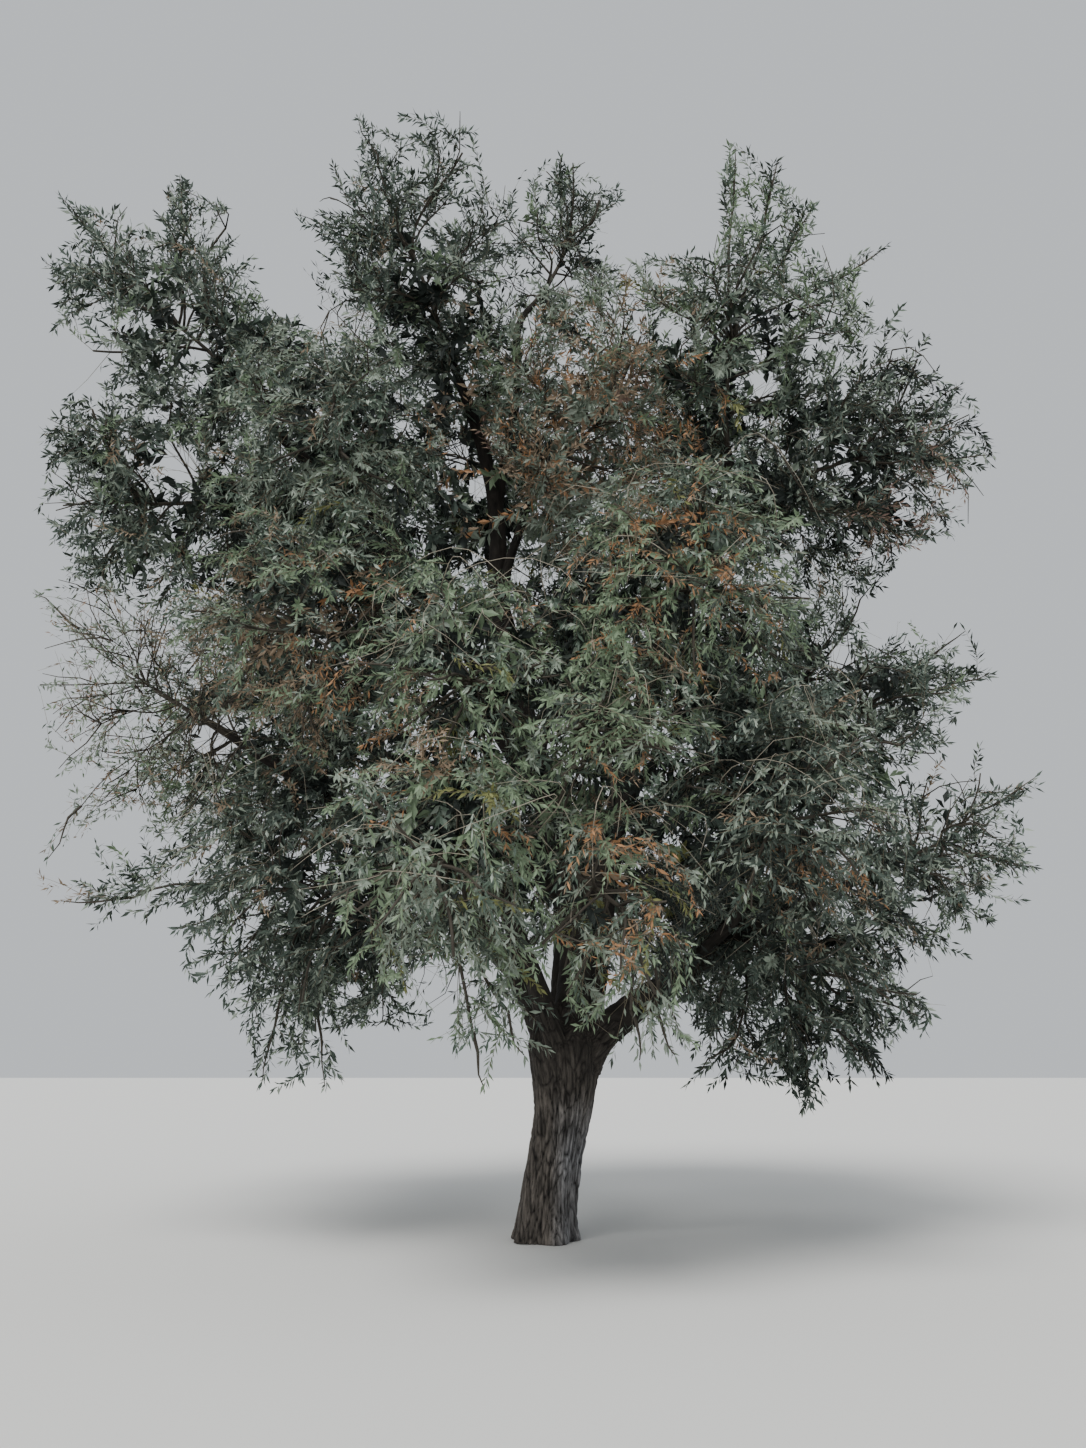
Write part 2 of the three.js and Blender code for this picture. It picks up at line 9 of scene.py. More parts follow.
import bpy
import numpy as np
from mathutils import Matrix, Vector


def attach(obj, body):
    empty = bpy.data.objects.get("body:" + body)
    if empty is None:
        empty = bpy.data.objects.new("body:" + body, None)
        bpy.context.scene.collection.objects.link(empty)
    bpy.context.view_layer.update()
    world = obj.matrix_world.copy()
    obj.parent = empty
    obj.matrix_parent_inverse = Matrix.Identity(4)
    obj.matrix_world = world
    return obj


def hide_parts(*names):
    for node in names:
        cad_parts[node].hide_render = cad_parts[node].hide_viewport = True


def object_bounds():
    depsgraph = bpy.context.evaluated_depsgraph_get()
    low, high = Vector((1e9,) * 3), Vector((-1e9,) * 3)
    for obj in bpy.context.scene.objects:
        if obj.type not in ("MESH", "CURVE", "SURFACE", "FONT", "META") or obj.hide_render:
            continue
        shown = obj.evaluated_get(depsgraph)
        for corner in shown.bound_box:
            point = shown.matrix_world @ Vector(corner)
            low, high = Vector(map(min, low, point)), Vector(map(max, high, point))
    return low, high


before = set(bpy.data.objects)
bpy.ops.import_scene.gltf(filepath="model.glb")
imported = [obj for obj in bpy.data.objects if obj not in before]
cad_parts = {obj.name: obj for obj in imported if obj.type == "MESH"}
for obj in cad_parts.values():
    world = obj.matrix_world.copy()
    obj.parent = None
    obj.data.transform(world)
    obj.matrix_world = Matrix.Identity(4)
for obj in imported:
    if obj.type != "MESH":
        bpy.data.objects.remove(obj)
SOLID_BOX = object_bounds()
BOX_ROOM = 0.06  # how far outside the solids' box a shoot may end
SEEDS = {"limb": 100, "twigs": 500, "growth": 1000}  # each with a mass's number added

# Camera and studio
EYE = np.array([-0.04, -9.0, 1.3])
LOOK_UP = math.radians(17.2)
LENS = 27.02
SENSOR = 36.0
FLOOR_SIDE = 160.0

# The trunk: height, centre and radius of each station, as in the solids
TRUNK_STATIONS = np.array(
    [
        (0.00, -0.040, 0.000, 0.246),
        (0.09, -0.034, 0.000, 0.226),
        (0.26, -0.012, 0.004, 0.210),
        (0.60, 0.048, 0.010, 0.203),
        (0.90, 0.108, 0.010, 0.220),
        (1.18, 0.130, 0.005, 0.262),
        (1.40, 0.138, 0.000, 0.300),
        (1.53, 0.140, 0.000, 0.275),
        (1.62, 0.142, 0.000, 0.150),
    ]
)
FLUTES = {"count": 5, "depth": 0.07, "phase": 0.6}
ROOT_FLARE = {"depth": 0.07, "height": 0.2}

# Boughs, as in the solids
BOUGH_TIP = 0.027
TAPER = 0.8
COLLAR = {"swell": 0.28, "length": 2.2}
CROOK = {"share": 0.035, "longest": 2.5, "waves": (5.2, 6.1)}
BEND = {"on": 0.3, "away": 0.32}
ENTRY = {"share": 0.72, "least": 0.3, "step": 0.04}
BEADS = 61

# Foliage, as in the solids
STEM = {"tip": 0.012, "past": 0.25, "bend": 0.5, "twigs": (0.15, 0.92), "lag": 0.75}
TWIG = {"foot": 0.020, "tip": 0.012, "bow": 0.35, "count": 3, "bend": 0.45, "on": 0.12}
REACH = {"most": 0.86, "least": 0.5, "step": 0.04}
LUMPS = {"height": 0.07, "phase": 1.7, "second": 0.6}
CELL_GAP = 0.03
LIMB_ROOM = 0.02
LEADER_ROOM = 0.3
# How far short of its leader's tip a first twig ends, as a share of the mass's radius
LEADER_BLADE = 0.62 * 0.7
GOLDEN_ANGLE = math.pi * (3 - math.sqrt(5))

# Bark: the size of its plates and how deep their furrows are, and how fine the trunk's mesh is
FURROW = {"plate": (0.034, 0.034, 0.19), "depth": 0.014, "voxel": 0.0096}
GRAIN_TURN = 0.5  # how far the trunk's grain turns round it in a metre
TRUNK_GIRTH = 0.21
STUB = 0.6  # how much of each bough from the trunk is in one piece with it
STUB_LAP = 0.08  # how far a bough's own piece reaches back into that
BLEND = 0.025  # how wide a band the bark of two limbs blends in where they meet
SWELL = {"size": (0.13, 0.13, 0.5), "depth": 0.034}  # how the trunk swells and sinks under its furrows
LIFT = 0.004  # how far its bark stands out, so that the furrows leave it as thick as the solid
# Pale bark low on the trunk, in blotches, and painted light that makes its right side paler: where it comes
# and how fast, where it ends, and its blotches
PALE_AND_LIT_RIGHT = {"x": 0.04, "share": 0.35, "rise": 1.9}
PALE_LOW = {"top": 1.1, "fade": 0.5}
PALE_BLOTCH = {"size": (0.05, 0.05, 0.3), "least": 0.35, "more": 0.65}
# Plates: where a cell's middle may lie in it, and how wide the plates' edges are
PLATE = {"from": 0.1, "over": 0.8, "edge": 0.3}
# How the plates' edges bend and how sharp they are, and how much the furrows and the strands count
RELIEF = {"bend": 1.1, "sharp": 1.5, "furrows": 0.75, "strands": 0.4, "strand_width": 0.45}
# How fine the bends and the strands are beside the plates
RELIEF_CELLS = {"bend": (0.7, 0.7, 0.9), "apart": 13, "strands": (1.9, 1.9, 0.8)}
# How fine the boughs' meshes are, and how their bark gets flatter as they get thinner
BOUGH_MESH = {"step": 0.048, "side": 0.028, "fewest": 8, "most": 24}
STUB_MESH = {"step": 0.06, "sides": 24}
TRUNK_MESH = {"first": 0.02, "stations": 60, "sides": 72}
BOUGH_BARK = {"full_at": 0.1, "least": 0.45, "share": 0.1, "ribs": 3, "rib": 0.05, "rib_turn": 4}
GRAIN_APART = 3  # how far apart the grains of two boughs lie, so that no two have the same bark
# How finely a bough's foot is measured for its grain, and how many times as far as its stub
FOOT_GRAIN = {"steps": 30, "times": 1.5}
UPRIGHT = 0.8  # a direction that is steeper than this counts as upright
FORK_END = 2  # how fast the trunk's own bark ends above the fork
BARK_SEEDS = {"bend": 3, "plates": 11, "strands": 7, "broad": 8, "pale": 9}

# Finer growth, which only the dressed tree has: how many steps its lines have and how many sides the meshes
# round them have, and the numbers of the materials that aren't grey twig
STEPS = {"stem": 8, "twig": 7, "leader": 4, "arch": 8, "branchlet": 3, "shoot": 4}
SIDES = {"stem": 6, "twig": 4, "fine": 3}
PALE_SHOOT, ARCHING_SHOOT = 1, 2
# Twigs between the first ones: how many, and how far round the stem their pattern is turned
SIDE_TWIGS = 14
SIDE_TURN = 1.1
BRANCHLETS = {"per_m3": 14, "depth": (0.3, 1.2)}
SIDE_TWIG = {"foot": 0.018, "tip": 0.008}
LEADER_END = {"foot": TWIG["tip"], "tip": 0.003}
BRANCHLET = {"foot": 0.0075, "tip": 0.003}
SHOOT = {"foot": 0.0028, "tip": 0.0009}
WANDER = {"twig": 0.05, "shoot": 0.08, "arch": 0.11}
WAVE = 0.7  # the share of a line's wander that each of its two waves has
FILL = {"reach": 1.7, "level": 0.58, "furthest": 1.85}  # how growth fills hollows between masses
CROWN_HEART = np.array([0.0, 0.0, 5.0])
# How many times further out from the crown's heart foliage is looked for, and how deep in its mass it counts
FURTHER_OUT = {"times": (1.15, 1.3, 1.45, 1.6), "depth": 0.9}
OUTER = 0.99  # how deep the furthest shoots end, except in a hollow
PAST_ALL = 2.0  # a depth that no growth reaches
# Shoots of the outside and of the shaded inside: how many there are in a cubic metre and how long their
# leafy end is, and how many pairs of leaves they have, how long and wide, and how far these lean out.
OUTSIDE = {"depth": 0.6, "count": 63, "leafy": 0.43, "pairs": 17, "long": 0.074, "wide": 0.27, "lean": 0.85}
INSIDE = {"depth": 0.25, "count": 34, "leafy": 0.52, "pairs": 12, "long": 0.118, "wide": 0.33, "lean": 0.95}
# The size of inner leaves where foliage lies further out, and where none does
BEHIND = {"long": 1.06, "wide": 1.25, "else_long": 0.9}
REACH_OF = {"branchlet": 0.45, "shoot": 0.42}  # how far from its end a branchlet or shoot rather starts
# What it costs a twig to start further out than its end, or below it where it droops
START_COST = {"outwards": 0.7, "slack": 0.9, "below": 1.4, "rise": 0.05}
# Where a twig bends, how far it goes on in its parent's direction, and how high it bows where it droops
TWIG_BEND = {"at": 0.4, "on": 0.25, "up": 0.35}
# Shoots round a leader: how many, where along it, in how much room and how that narrows towards the tip.
# Where the mass droops they have more room, the leader arches, and a long one ends in a wider, fuller spray.
LEADER = {"shoots": 19, "from": 0.35, "over": 0.62, "room": 0.8, "narrow": 1.28}
LEADER_DROOP = {"room": 1.6, "arch": 0.35, "more": 1.3, "wider": 0.8}
# How far out a clearing's ragged edge ends and how wide it is, as shares of its half width
RAGGED = {"end": 1.25, "wide": 0.5}
# How a usual mass grows, as shares of what is said above: how many of the source's own twigs it has and how
# thick they are, its branchlets, its shoots, the leaves that it keeps and their size. Then how much more
# it hangs than its solid does, and the share of its dark outer shoots that get a lighter tint as painted
# light.
USUAL = {
    "own_twigs": 1, "slim": 0.7, "branchlets": 1.0, "shoots": 1.0,
    "kept": 0.95, "leaf": 1.0, "hang": 0.0, "lit": 0.06,
}
# The masses whose middles lie in front of this hang as a curtain, with more shoots, smaller leaves and more
# painted light.
CURTAIN_BEFORE = -1.8
CURTAIN = {**USUAL, "shoots": 2.1, "leaf": 0.84, "hang": 0.3, "lit": 0.4}
THIN = {**USUAL, "own_twigs": 4, "slim": 0.36, "branchlets": 1.8, "kept": 0.40, "leaf": 0.85}
# How leaves vary in length, fold, hang and turn round their shoot, and where they are widest
LEAF = {"spread": 0.22, "most": 1.6, "fold": 0.3, "droop": 0.12, "hang": 0.3, "turn": 0.25, "widest": 0.46}
# How their lean out of the shoot varies, how much of it the last ones have, and how they tilt
LEAF_LEAN = {"spread": 0.2, "last": 0.4, "tilt": 0.35}
# How leaves get longer and shorter again along their shoot, as part of a sine wave
ALONG_SHOOT = {"least": 0.75, "more": 0.25, "wave": (0.5, math.pi - 0.7)}
# The leafy end of a shoot: how it varies, the shortest shoot that it is measured by, and its bounds
LEAFY = {"least": 0.8, "more": 0.4, "shortest": 0.05, "within": (0.12, 0.95)}
# Long bare shoots that arch out of the masses that hang low, and where on a mass they face
ARCH = {"count": 24, "foot": 0.0038, "tip": 0.0012, "reach": 0.95, "rise": 1.3, "depth": 1.1, "from": 0.95}
ARCH_FACES = {"front": 0.3, "up": 0.5}
DRY_LEAF = {"long": 0.86, "wide": 0.82}  # the size of dry leaves, as a share of the others'


class Mass:
    """One mass of foliage, and the bough that carries it."""

    def __init__(self, name, at, size, source, foot, share=None, start=None, via=(), droop=0.0,
                 tone="green", full=1.0, thin=False, tips=()):
        self.name = name
        self.middle = np.array(at, float)
        self.radii = np.array(size, float)
        self.radius = float(self.radii.mean())
        self.source = source
        self.foot = foot
        self.share = share
        self.start = None if start is None else np.array(start, float)
        self.via = [np.array(place, float) for place in via]
        self.droop = droop
        self.tone = tone
        self.full = full
        self.thin = thin
        in_curtain = self.middle[1] < CURTAIN_BEFORE
        self.habit = THIN if thin else (CURTAIN if in_curtain else USUAL)
        self.tips = [np.array(tip, float) for tip in tips]
        self.index = 0  # its place in the list of masses, which is given to it there


# Every mass stands after the one whose bough carries its own.
MASSES = [
    Mass("left_thin", (-3.24, -0.5, 4.23), (0.99, 1.15, 1.13), "trunk", foot=0.128, start=(0.04, -0.01, 1.33),
         via=[(-0.42, -0.06, 2.18), (-1.35, -0.15, 3.08)], tone="dry", full=1.1, thin=True,
         tips=[(-4.26, -0.7, 5), (-3.8, -0.82, 2.76)]),
    Mass("top_left", (-1.17, -0.85, 8.15), (1.01, 1.2, 1.23), "trunk", foot=0.165,
         start=(0.17, 0.02, 1.33), via=[(0.15, 0.04, 2.7), (-0.34, 0, 4.6), (-0.42, -0.1, 6.2)],
         tone="cool", full=1.0, tips=[(-1.72, -1.2, 9.48), (-2.21, -1.15, 8.45)]),
    Mass("far_right", (3.1, -0.25, 2.95), (0.8, 1.15, 0.82), "trunk", foot=0.15, start=(0.27, -0.02, 1.34),
         via=[(0.76, -0.04, 1.74), (1.38, -0.08, 2.2)],
         tone="cool", full=0.8, tips=[(3.93, -0.5, 3.48), (3.82, -0.5, 2.76)]),
    Mass("upper_right", (1.59, -1, 7.12), (1.2, 1.2, 1.01), "trunk", foot=0.138, start=(0.24, 0.12, 1.33),
         via=[(0.54, 0.23, 3.05), (1.06, 0.12, 4.7), (1.54, -0.48, 5.9)],
         full=1.0, tips=[(1.62, -1.5, 8.85), (2.01, -1.4, 8.79), (2.32, -1.3, 8.4), (2.92, -1.25, 8.02)]),
    Mass("back_centre", (0.25, 2.5, 5.9), (1.3, 1.1, 1.25), "trunk", foot=0.14, start=(0.12, 0.17, 1.33),
         via=[(0.09, 0.62, 2.5), (-0.06, 1.5, 3.9)], full=1.25),
    Mass("front_low", (-0.64, -2.8, 2.38), (0.76, 0.76, 0.79), "trunk", foot=0.09,
         start=(0.09, -0.15, 1.34), via=[(-0.26, -0.62, 2.16), (-0.42, -1.35, 2.76)], droop=0.4,
         tone="silver", tips=[(-0.38, -2.4, 1.15), (-0.15, -2.4, 1.33)]),
    Mass("lower_left", (-1.92, -0.45, 2.59), (1.04, 1.3, 1.3), "left_thin", foot=0.074, share=0.36,
         droop=0.35, tone="cool", full=0.88,
         tips=[(-1.63, -0.65, 1.12), (-2.1, -0.6, 1.16), (-3.65, -0.85, 2.44)]),
    Mass("upper_left", (-3.13, -1.05, 7.27), (1.1, 1.25, 1.03), "top_left", foot=0.084, share=0.45,
         via=[(-1.35, -0.35, 5.35), (-2.25, -0.85, 6.4)],
         tone="cool", full=1.08, tips=[(-4.13, -1.5, 8.3), (-3.19, -1.4, 8.62), (-4.18, -1.5, 7.64)]),
    Mass("left", (-3.22, -0.95, 5.7), (0.99, 1.15, 0.89), "upper_left", foot=0.05, share=0.3,
         tone="cool", full=1.25, tips=[(-3.98, -1.4, 6.08)]),
    Mass("mid_left", (-1.64, -1.95, 5.73), (0.96, 0.9, 0.96), "upper_left", foot=0.048, share=0.16,
         tone="light"),
    Mass("left_front", (-1.62, -2.15, 4.08), (1.02, 0.9, 0.84), "top_left", foot=0.056, share=0.36),
    Mass("top_centre", (0.15, -0.25, 8.79), (0.72, 0.95, 0.99), "top_left", foot=0.052, share=0.72,
         tone="cool", full=0.45, tips=[(0.13, -0.5, 9.72), (0.7, -0.5, 9.28)]),
    Mass("heart", (0.34, -0.95, 6.36), (1, 1.1, 1.23), "top_left", foot=0.05, share=0.55,
         tone="dry", full=1.5),
    Mass("front_left", (-0.48, -2.6, 3.56), (0.84, 0.8, 0.68), "top_left", foot=0.058, share=0.28,
         droop=0.15),
    Mass("front_centre", (0.33, -2.6, 3.2), (0.64, 0.7, 0.64), "front_left", foot=0.033, share=0.5,
         droop=0.2),
    Mass("front_low_right", (0.37, -2.55, 2.2), (0.56, 0.65, 0.76), "front_low", foot=0.038, share=0.55,
         droop=0.45, tone="silver", tips=[(0.52, -2.4, 1.3), (0.73, -2.35, 1.33)]),
    Mass("front_right", (0.93, -2.3, 4.3), (0.94, 0.9, 0.88), "upper_right", foot=0.058, share=0.4,
         droop=0.1),
    Mass("right", (2.6, -0.78, 6.18), (1.13, 1.24, 0.99), "upper_right", foot=0.066, share=0.56,
         tone="shaded", full=1.12, tips=[(3.62, -1.2, 6.01), (3.42, -1.2, 6.66)]),
    Mass("right_low", (2.58, -0.4, 4.02), (0.89, 1.15, 0.79), "far_right", foot=0.06, share=0.52,
         tone="cool", full=0.85, tips=[(3.45, -0.65, 4.69), (3.58, -0.7, 4.3)]),
    Mass("lower_right", (1.96, -0.25, 1.92), (1.03, 1.3, 0.82), "far_right", foot=0.062, share=0.6,
         droop=0.3, tone="shaded", full=0.95,
         tips=[(1.93, -0.5, 1.03), (2.45, -0.45, 1.16), (2.86, -0.5, 1.6), (1.08, -0.9, 1.23)]),
    Mass("right_front_low", (1.5, -2, 2.83), (0.86, 0.85, 0.88), "far_right", foot=0.058, share=0.34,
         droop=0.2, tone="cool"),
    Mass("back_top", (-0.65, 1.05, 7.35), (1.35, 1.3, 1.15), "back_centre", foot=0.074, share=0.55,
         via=[(-0.5, 1.45, 5.9)]),
    Mass("back_upper_left", (-2.4, 1.15, 6.5), (1.2, 1.35, 1.15), "back_centre", foot=0.066, share=0.6),
    Mass("back_upper_right", (1.55, 1.05, 7.35), (1.2, 1.3, 1.15), "upper_right", foot=0.07, share=0.42),
    Mass("back_left", (-2.95, 1.3, 4.35), (1.15, 1.4, 1.2), "back_centre", foot=0.066, share=0.36),
    Mass("back_right", (2.45, 1.35, 4.9), (1.25, 1.4, 1.2), "back_centre", foot=0.066, share=0.34),
    Mass("back_low", (0.1, 2.9, 3.2), (1.25, 1.05, 1), "back_centre", foot=0.054, share=0.45, droop=0.2,
         full=1.25),
    Mass("back_low_left", (-1.7, 1.4, 2.55), (1.15, 1.3, 1.05), "left_thin", foot=0.056, share=0.2,
         droop=0.25),
    Mass("back_low_right", (1.84, 1.45, 2.49), (1.2, 1.3, 0.95), "far_right", foot=0.056, share=0.24,
         droop=0.25),
]
for number, each in enumerate(MASSES):
    each.index = number

# Clearings: a point on each line of sight, its half width there, the share of the shoots and leaves that it
# takes away, and whether it takes only those in front of the point, so that a bough shows, or all of them.
CLEARINGS = [
    # Between the lobes at the top
    ((-2.57, -1.0, 8.50), 0.22, 1.0, False),
    ((-2.26, -1.0, 7.77), 0.24, 1.0, False),
    ((-0.39, -1.0, 9.14), 0.20, 1.0, False),
    ((0.65, -1.0, 8.40), 0.22, 1.0, False),
    ((1.80, -1.2, 6.64), 0.12, 1.0, False),
    ((-1.96, -1.0, 7.53), 0.18, 0.9, False),
    ((-1.63, -1.0, 7.43), 0.12, 0.8, False),
    ((2.72, -1.0, 8.47), 0.36, 0.7, False),
    # Along the left side
    ((-4.06, -1.0, 7.00), 0.27, 1.0, False),
    ((-2.91, -1.4, 5.82), 0.15, 1.0, False),
    ((-4.01, -0.5, 4.68), 0.45, 0.35, False),
    ((-2.62, -0.8, 3.72), 0.18, 1.0, False),
    # Along the right side
    ((2.88, -0.4, 4.90), 0.20, 0.9, False),
    ((3.36, -0.4, 4.83), 0.22, 0.8, False),
    ((2.29, -1.0, 4.34), 0.10, 1.0, False),
    ((3.60, -0.4, 3.10), 0.55, 0.3, False),
    # Beside the boughs in the middle
    ((-0.75, -1.0, 6.13), 0.12, 1.0, False),
    ((-0.56, -1.0, 5.80), 0.11, 1.0, False),
    ((-0.23, -1.0, 5.03), 0.08, 1.0, False),
    ((-0.34, -1.0, 4.65), 0.11, 0.8, False),
    # Left of the trunk
    ((-0.85, -0.5, 1.85), 0.21, 0.8, False),
    ((-0.52, -0.5, 1.59), 0.09, 0.8, False),
    # In front of the fork
    ((0.42, -0.1, 1.50), 0.12, 0.9, True),
    ((0.58, -0.1, 1.66), 0.13, 0.9, True),
    ((0.76, -0.1, 1.82), 0.14, 0.8, True),
]

# Leaf tints as they look in daylight, and how often each kind of mass deals them to its sprays.
TINTS = {
    # shade is painted shade: the dark tint of shoots in the crown's shaded inside, its hollows and its shaded
    # side.
    "shade": (0.145, 0.175, 0.16),
    "deep": (0.205, 0.245, 0.21),
    "grey_green": (0.325, 0.385, 0.335),
    "blue_green": (0.295, 0.345, 0.31),
    "bright": (0.455, 0.525, 0.42),
    "silver": (0.495, 0.54, 0.485),
    "pale": (0.60, 0.64, 0.59),
    "yellow_green": (0.47, 0.48, 0.30),
    "orange": (0.63, 0.47, 0.33),
    "brown": (0.53, 0.46, 0.38),
    "pinkish": (0.52, 0.43, 0.39),
}
DRY_TINTS = ("orange", "brown", "pinkish")
TINT_NUMBER = {name: number for number, name in enumerate(TINTS)}
SPRAY_MIX = {
    "green": {
        "deep": 0.31, "grey_green": 0.35, "bright": 0.17, "silver": 0.13, "yellow_green": 0.03, "brown": 0.01
    },
    "light": {
        "deep": 0.26, "blue_green": 0.30, "grey_green": 0.18, "bright": 0.10, "silver": 0.15, "brown": 0.01
    },
    "cool": {"deep": 0.36, "blue_green": 0.53, "bright": 0.04, "silver": 0.05, "brown": 0.02},
    # shaded is painted shade: a darker mix for the masses on the crown's shaded right side.
    "shaded": {"shade": 0.15, "deep": 0.47, "blue_green": 0.34, "silver": 0.02, "brown": 0.02},
    "silver": {
        "deep": 0.12, "grey_green": 0.28, "bright": 0.24, "silver": 0.32, "yellow_green": 0.03, "brown": 0.01
    },
    "dry": {
        "grey_green": 0.14, "silver": 0.52, "bright": 0.13, "orange": 0.02, "brown": 0.10, "pinkish": 0.09
    },
}
# The share of inner shoots that get the dark tint of painted shade: where foliage lies further out, where
# none does, and in a dry mass
IN_SHADE = {"behind": 0.55, "else": 0.27, "dry": 0.04}
# The share of leaves that turn their pale side up, and the tint of that side for each tint
PALE_SIDE = 0.21
PALE_SIDES = {"deep": "silver", "grey_green": "pale", "blue_green": "pale", "silver": "pale"}
# A dry shoot's leaves are brown below one chance and green above another.
DRY_SHOOT = {"brown_below": 0.3, "green_above": 0.85}
PATCH_EDGE = 1.6  # how many radii out a patch ends, after it has faded over the last one
# Where sprays of another tint grow: the middle of the patch, its radius, the tint and the share of sprays.
PATCHES = [
    ((0.21, -1.60, 5.98), 0.90, "orange", 0.55),
    ((0.10, -1.40, 6.30), 0.95, "brown", 0.42),
    ((0.56, -2.90, 4.21), 0.55, "orange", 0.75),
    ((0.89, -2.60, 3.84), 0.50, "orange", 0.45),
    # Painted shade: dark sprays low in front, right of the trunk.
    ((0.85, -2.10, 2.20), 0.55, "shade", 0.70),
    ((0.52, -3.05, 2.34), 0.50, "orange", 1.00),
    ((1.84, -1.90, 2.43), 0.36, "orange", 0.50),
    ((-2.49, -1.40, 4.23), 0.85, "brown", 0.75),
    ((-1.70, -2.00, 3.85), 0.60, "brown", 0.75),
    ((-1.44, -2.40, 4.13), 0.35, "orange", 0.50),
    ((-1.13, -2.80, 3.12), 0.50, "orange", 0.60),
    ((-0.75, -2.90, 2.95), 0.35, "brown", 0.60),
    ((3.05, -1.30, 5.36), 0.48, "pinkish", 0.90),
    ((-0.23, -2.20, 4.85), 0.22, "yellow_green", 0.80),
    ((-0.30, -2.90, 3.30), 1.00, "bright", 0.35),
    ((0.40, -2.70, 3.40), 0.80, "bright", 0.25),
]

# How rough leaves are: waxy ones, which have these tints, and the rest
WAXY_TINTS = ("deep", "grey_green", "blue_green", "bright")
LEAF_ROUGHNESS = {"waxy": 0.5, "dull": 0.68}
# What the bark's strands and blotches make of a plate's colour: from a range of noise to a range of shares
STRAND_TONES = (0.36, 0.64, 0.42, 1.55)
BLOTCH_TONES = (0.35, 0.65, 0.72, 1.28)
STRAND_ROUGHNESS = (0.0, 1.0, 0.78, 0.98)
PAINTED_SHADE = 0.78  # how much the painted shade under the crown hides of the bark
# The places of a mix node's colour sockets, whose names its other sockets have too
MIX_COLORS = {"first": 6, "second": 7, "result": 2}


def seeded(seed):
    """A stream of numbers from 0 to 1, the same each time for one seed and the same as in the solids."""
    mask = 0xFFFFFFFF
    state = seed & mask

    def following():
        nonlocal state
        state = (state + 0x6D2B79F5) & mask
        mixed = ((state ^ (state >> 15)) * (state | 1)) & mask
        mixed ^= (mixed + (mixed ^ (mixed >> 7)) * (mixed | 61)) & mask
        return ((mixed ^ (mixed >> 14)) & mask) / 4294967296

    return following


def unit(vectors):
    """Vectors, or one, at length 1."""
    return vectors / np.maximum(np.linalg.norm(vectors, axis=-1, keepdims=True), 1e-9)


def through(points, shares):
    """The points at some shares of a smooth curve through some points."""
    points = np.array(points)
    spans = len(points) - 1
    first = np.minimum(np.floor(shares * spans).astype(int), spans - 1)
    u = shares * spans - first
    weights = [
        -0.5 * u + u**2 - 0.5 * u**3,
        1 - 2.5 * u**2 + 1.5 * u**3,
        0.5 * u + 2 * u**2 - 1.5 * u**3,
        -0.5 * u**2 + 0.5 * u**3,
    ]
    return sum(w[:, None] * points[np.clip(first + k - 1, 0, spans)] for k, w in enumerate(weights))


def bowed(start, bend, end, shares):
    """The points at some shares of a curve that leaves its start towards a bend and arrives at its end."""
    s = shares[:, None]
    return (1 - s) ** 2 * start + 2 * s * (1 - s) * bend + s**2 * end


def tangent(route, share):
    """The direction of a route at a share of its length."""
    step = 0.01
    ends = route(np.array([max(0.0, share - step), min(1.0, share + step)]))
    return unit(ends[1] - ends[0])


# The space of a mass


def depth_in(mass, points):
    """How deep points are in a mass: 0 at its middle, 1 at its lumpy surface."""
    d = (points - mass.middle) / mass.radii
    length = np.linalg.norm(d, axis=-1)
    turn = np.arctan2(d[..., 1], d[..., 0])
    lift = np.arcsin(np.clip(d[..., 2] / np.maximum(length, 1e-6), -1, 1))
    phase = mass.index * LUMPS["phase"]
    lump = np.sin(3 * turn + phase) * np.cos(2 * lift + phase) + LUMPS["second"] * np.sin(4 * lift - phase)
    return length / (1 + LUMPS["height"] * lump)


def distance_to_line(points, start, end):
    """How far points are from a straight line between two ends."""
    along = np.clip((points - start) @ (end - start) / ((end - start) @ (end - start)), 0, 1)
    return np.linalg.norm(points - start - along[..., None] * (end - start), axis=-1)


def near_leader(mass, points):
    """Whether points are in the room round one of a mass's leaders."""
    near = np.zeros(points.shape[:-1], bool)
    for tip in mass.tips:
        last = tip + unit(mass.middle - tip) * LEADER_ROOM
        near |= distance_to_line(points, mass.middle, last) < LEADER_ROOM
    return near


def in_space(mass, points, gap=CELL_GAP):
    """Whether points are in a mass's own space. Where two overlap, the nearer middle has them."""
    own = depth_in(mass, points)
    inside = (own <= 1) | near_leader(mass, points)
    for other in MASSES:
        if other is not mass:
            inside &= depth_in(other, points) > np.minimum(own, 1) + gap
    return inside


def in_mass(mass, directions, shares):
    """The points of a mass that lie in some directions from its middle, at some shares of its radii."""
    return mass.middle + directions * mass.radii * np.asarray(shares)[..., None]


# Boughs


class Limb:
    """A bough's route and radius, with beads along it to measure distances from."""

    def __init__(self, route, radius_at, length, number):
        self.route = route
        self.radius_at = radius_at
        self.length = length
        self.number = number
        shares = np.linspace(0, 1, BEADS)
        self.beads = route(shares)
        self.bead_radii = radius_at(shares)


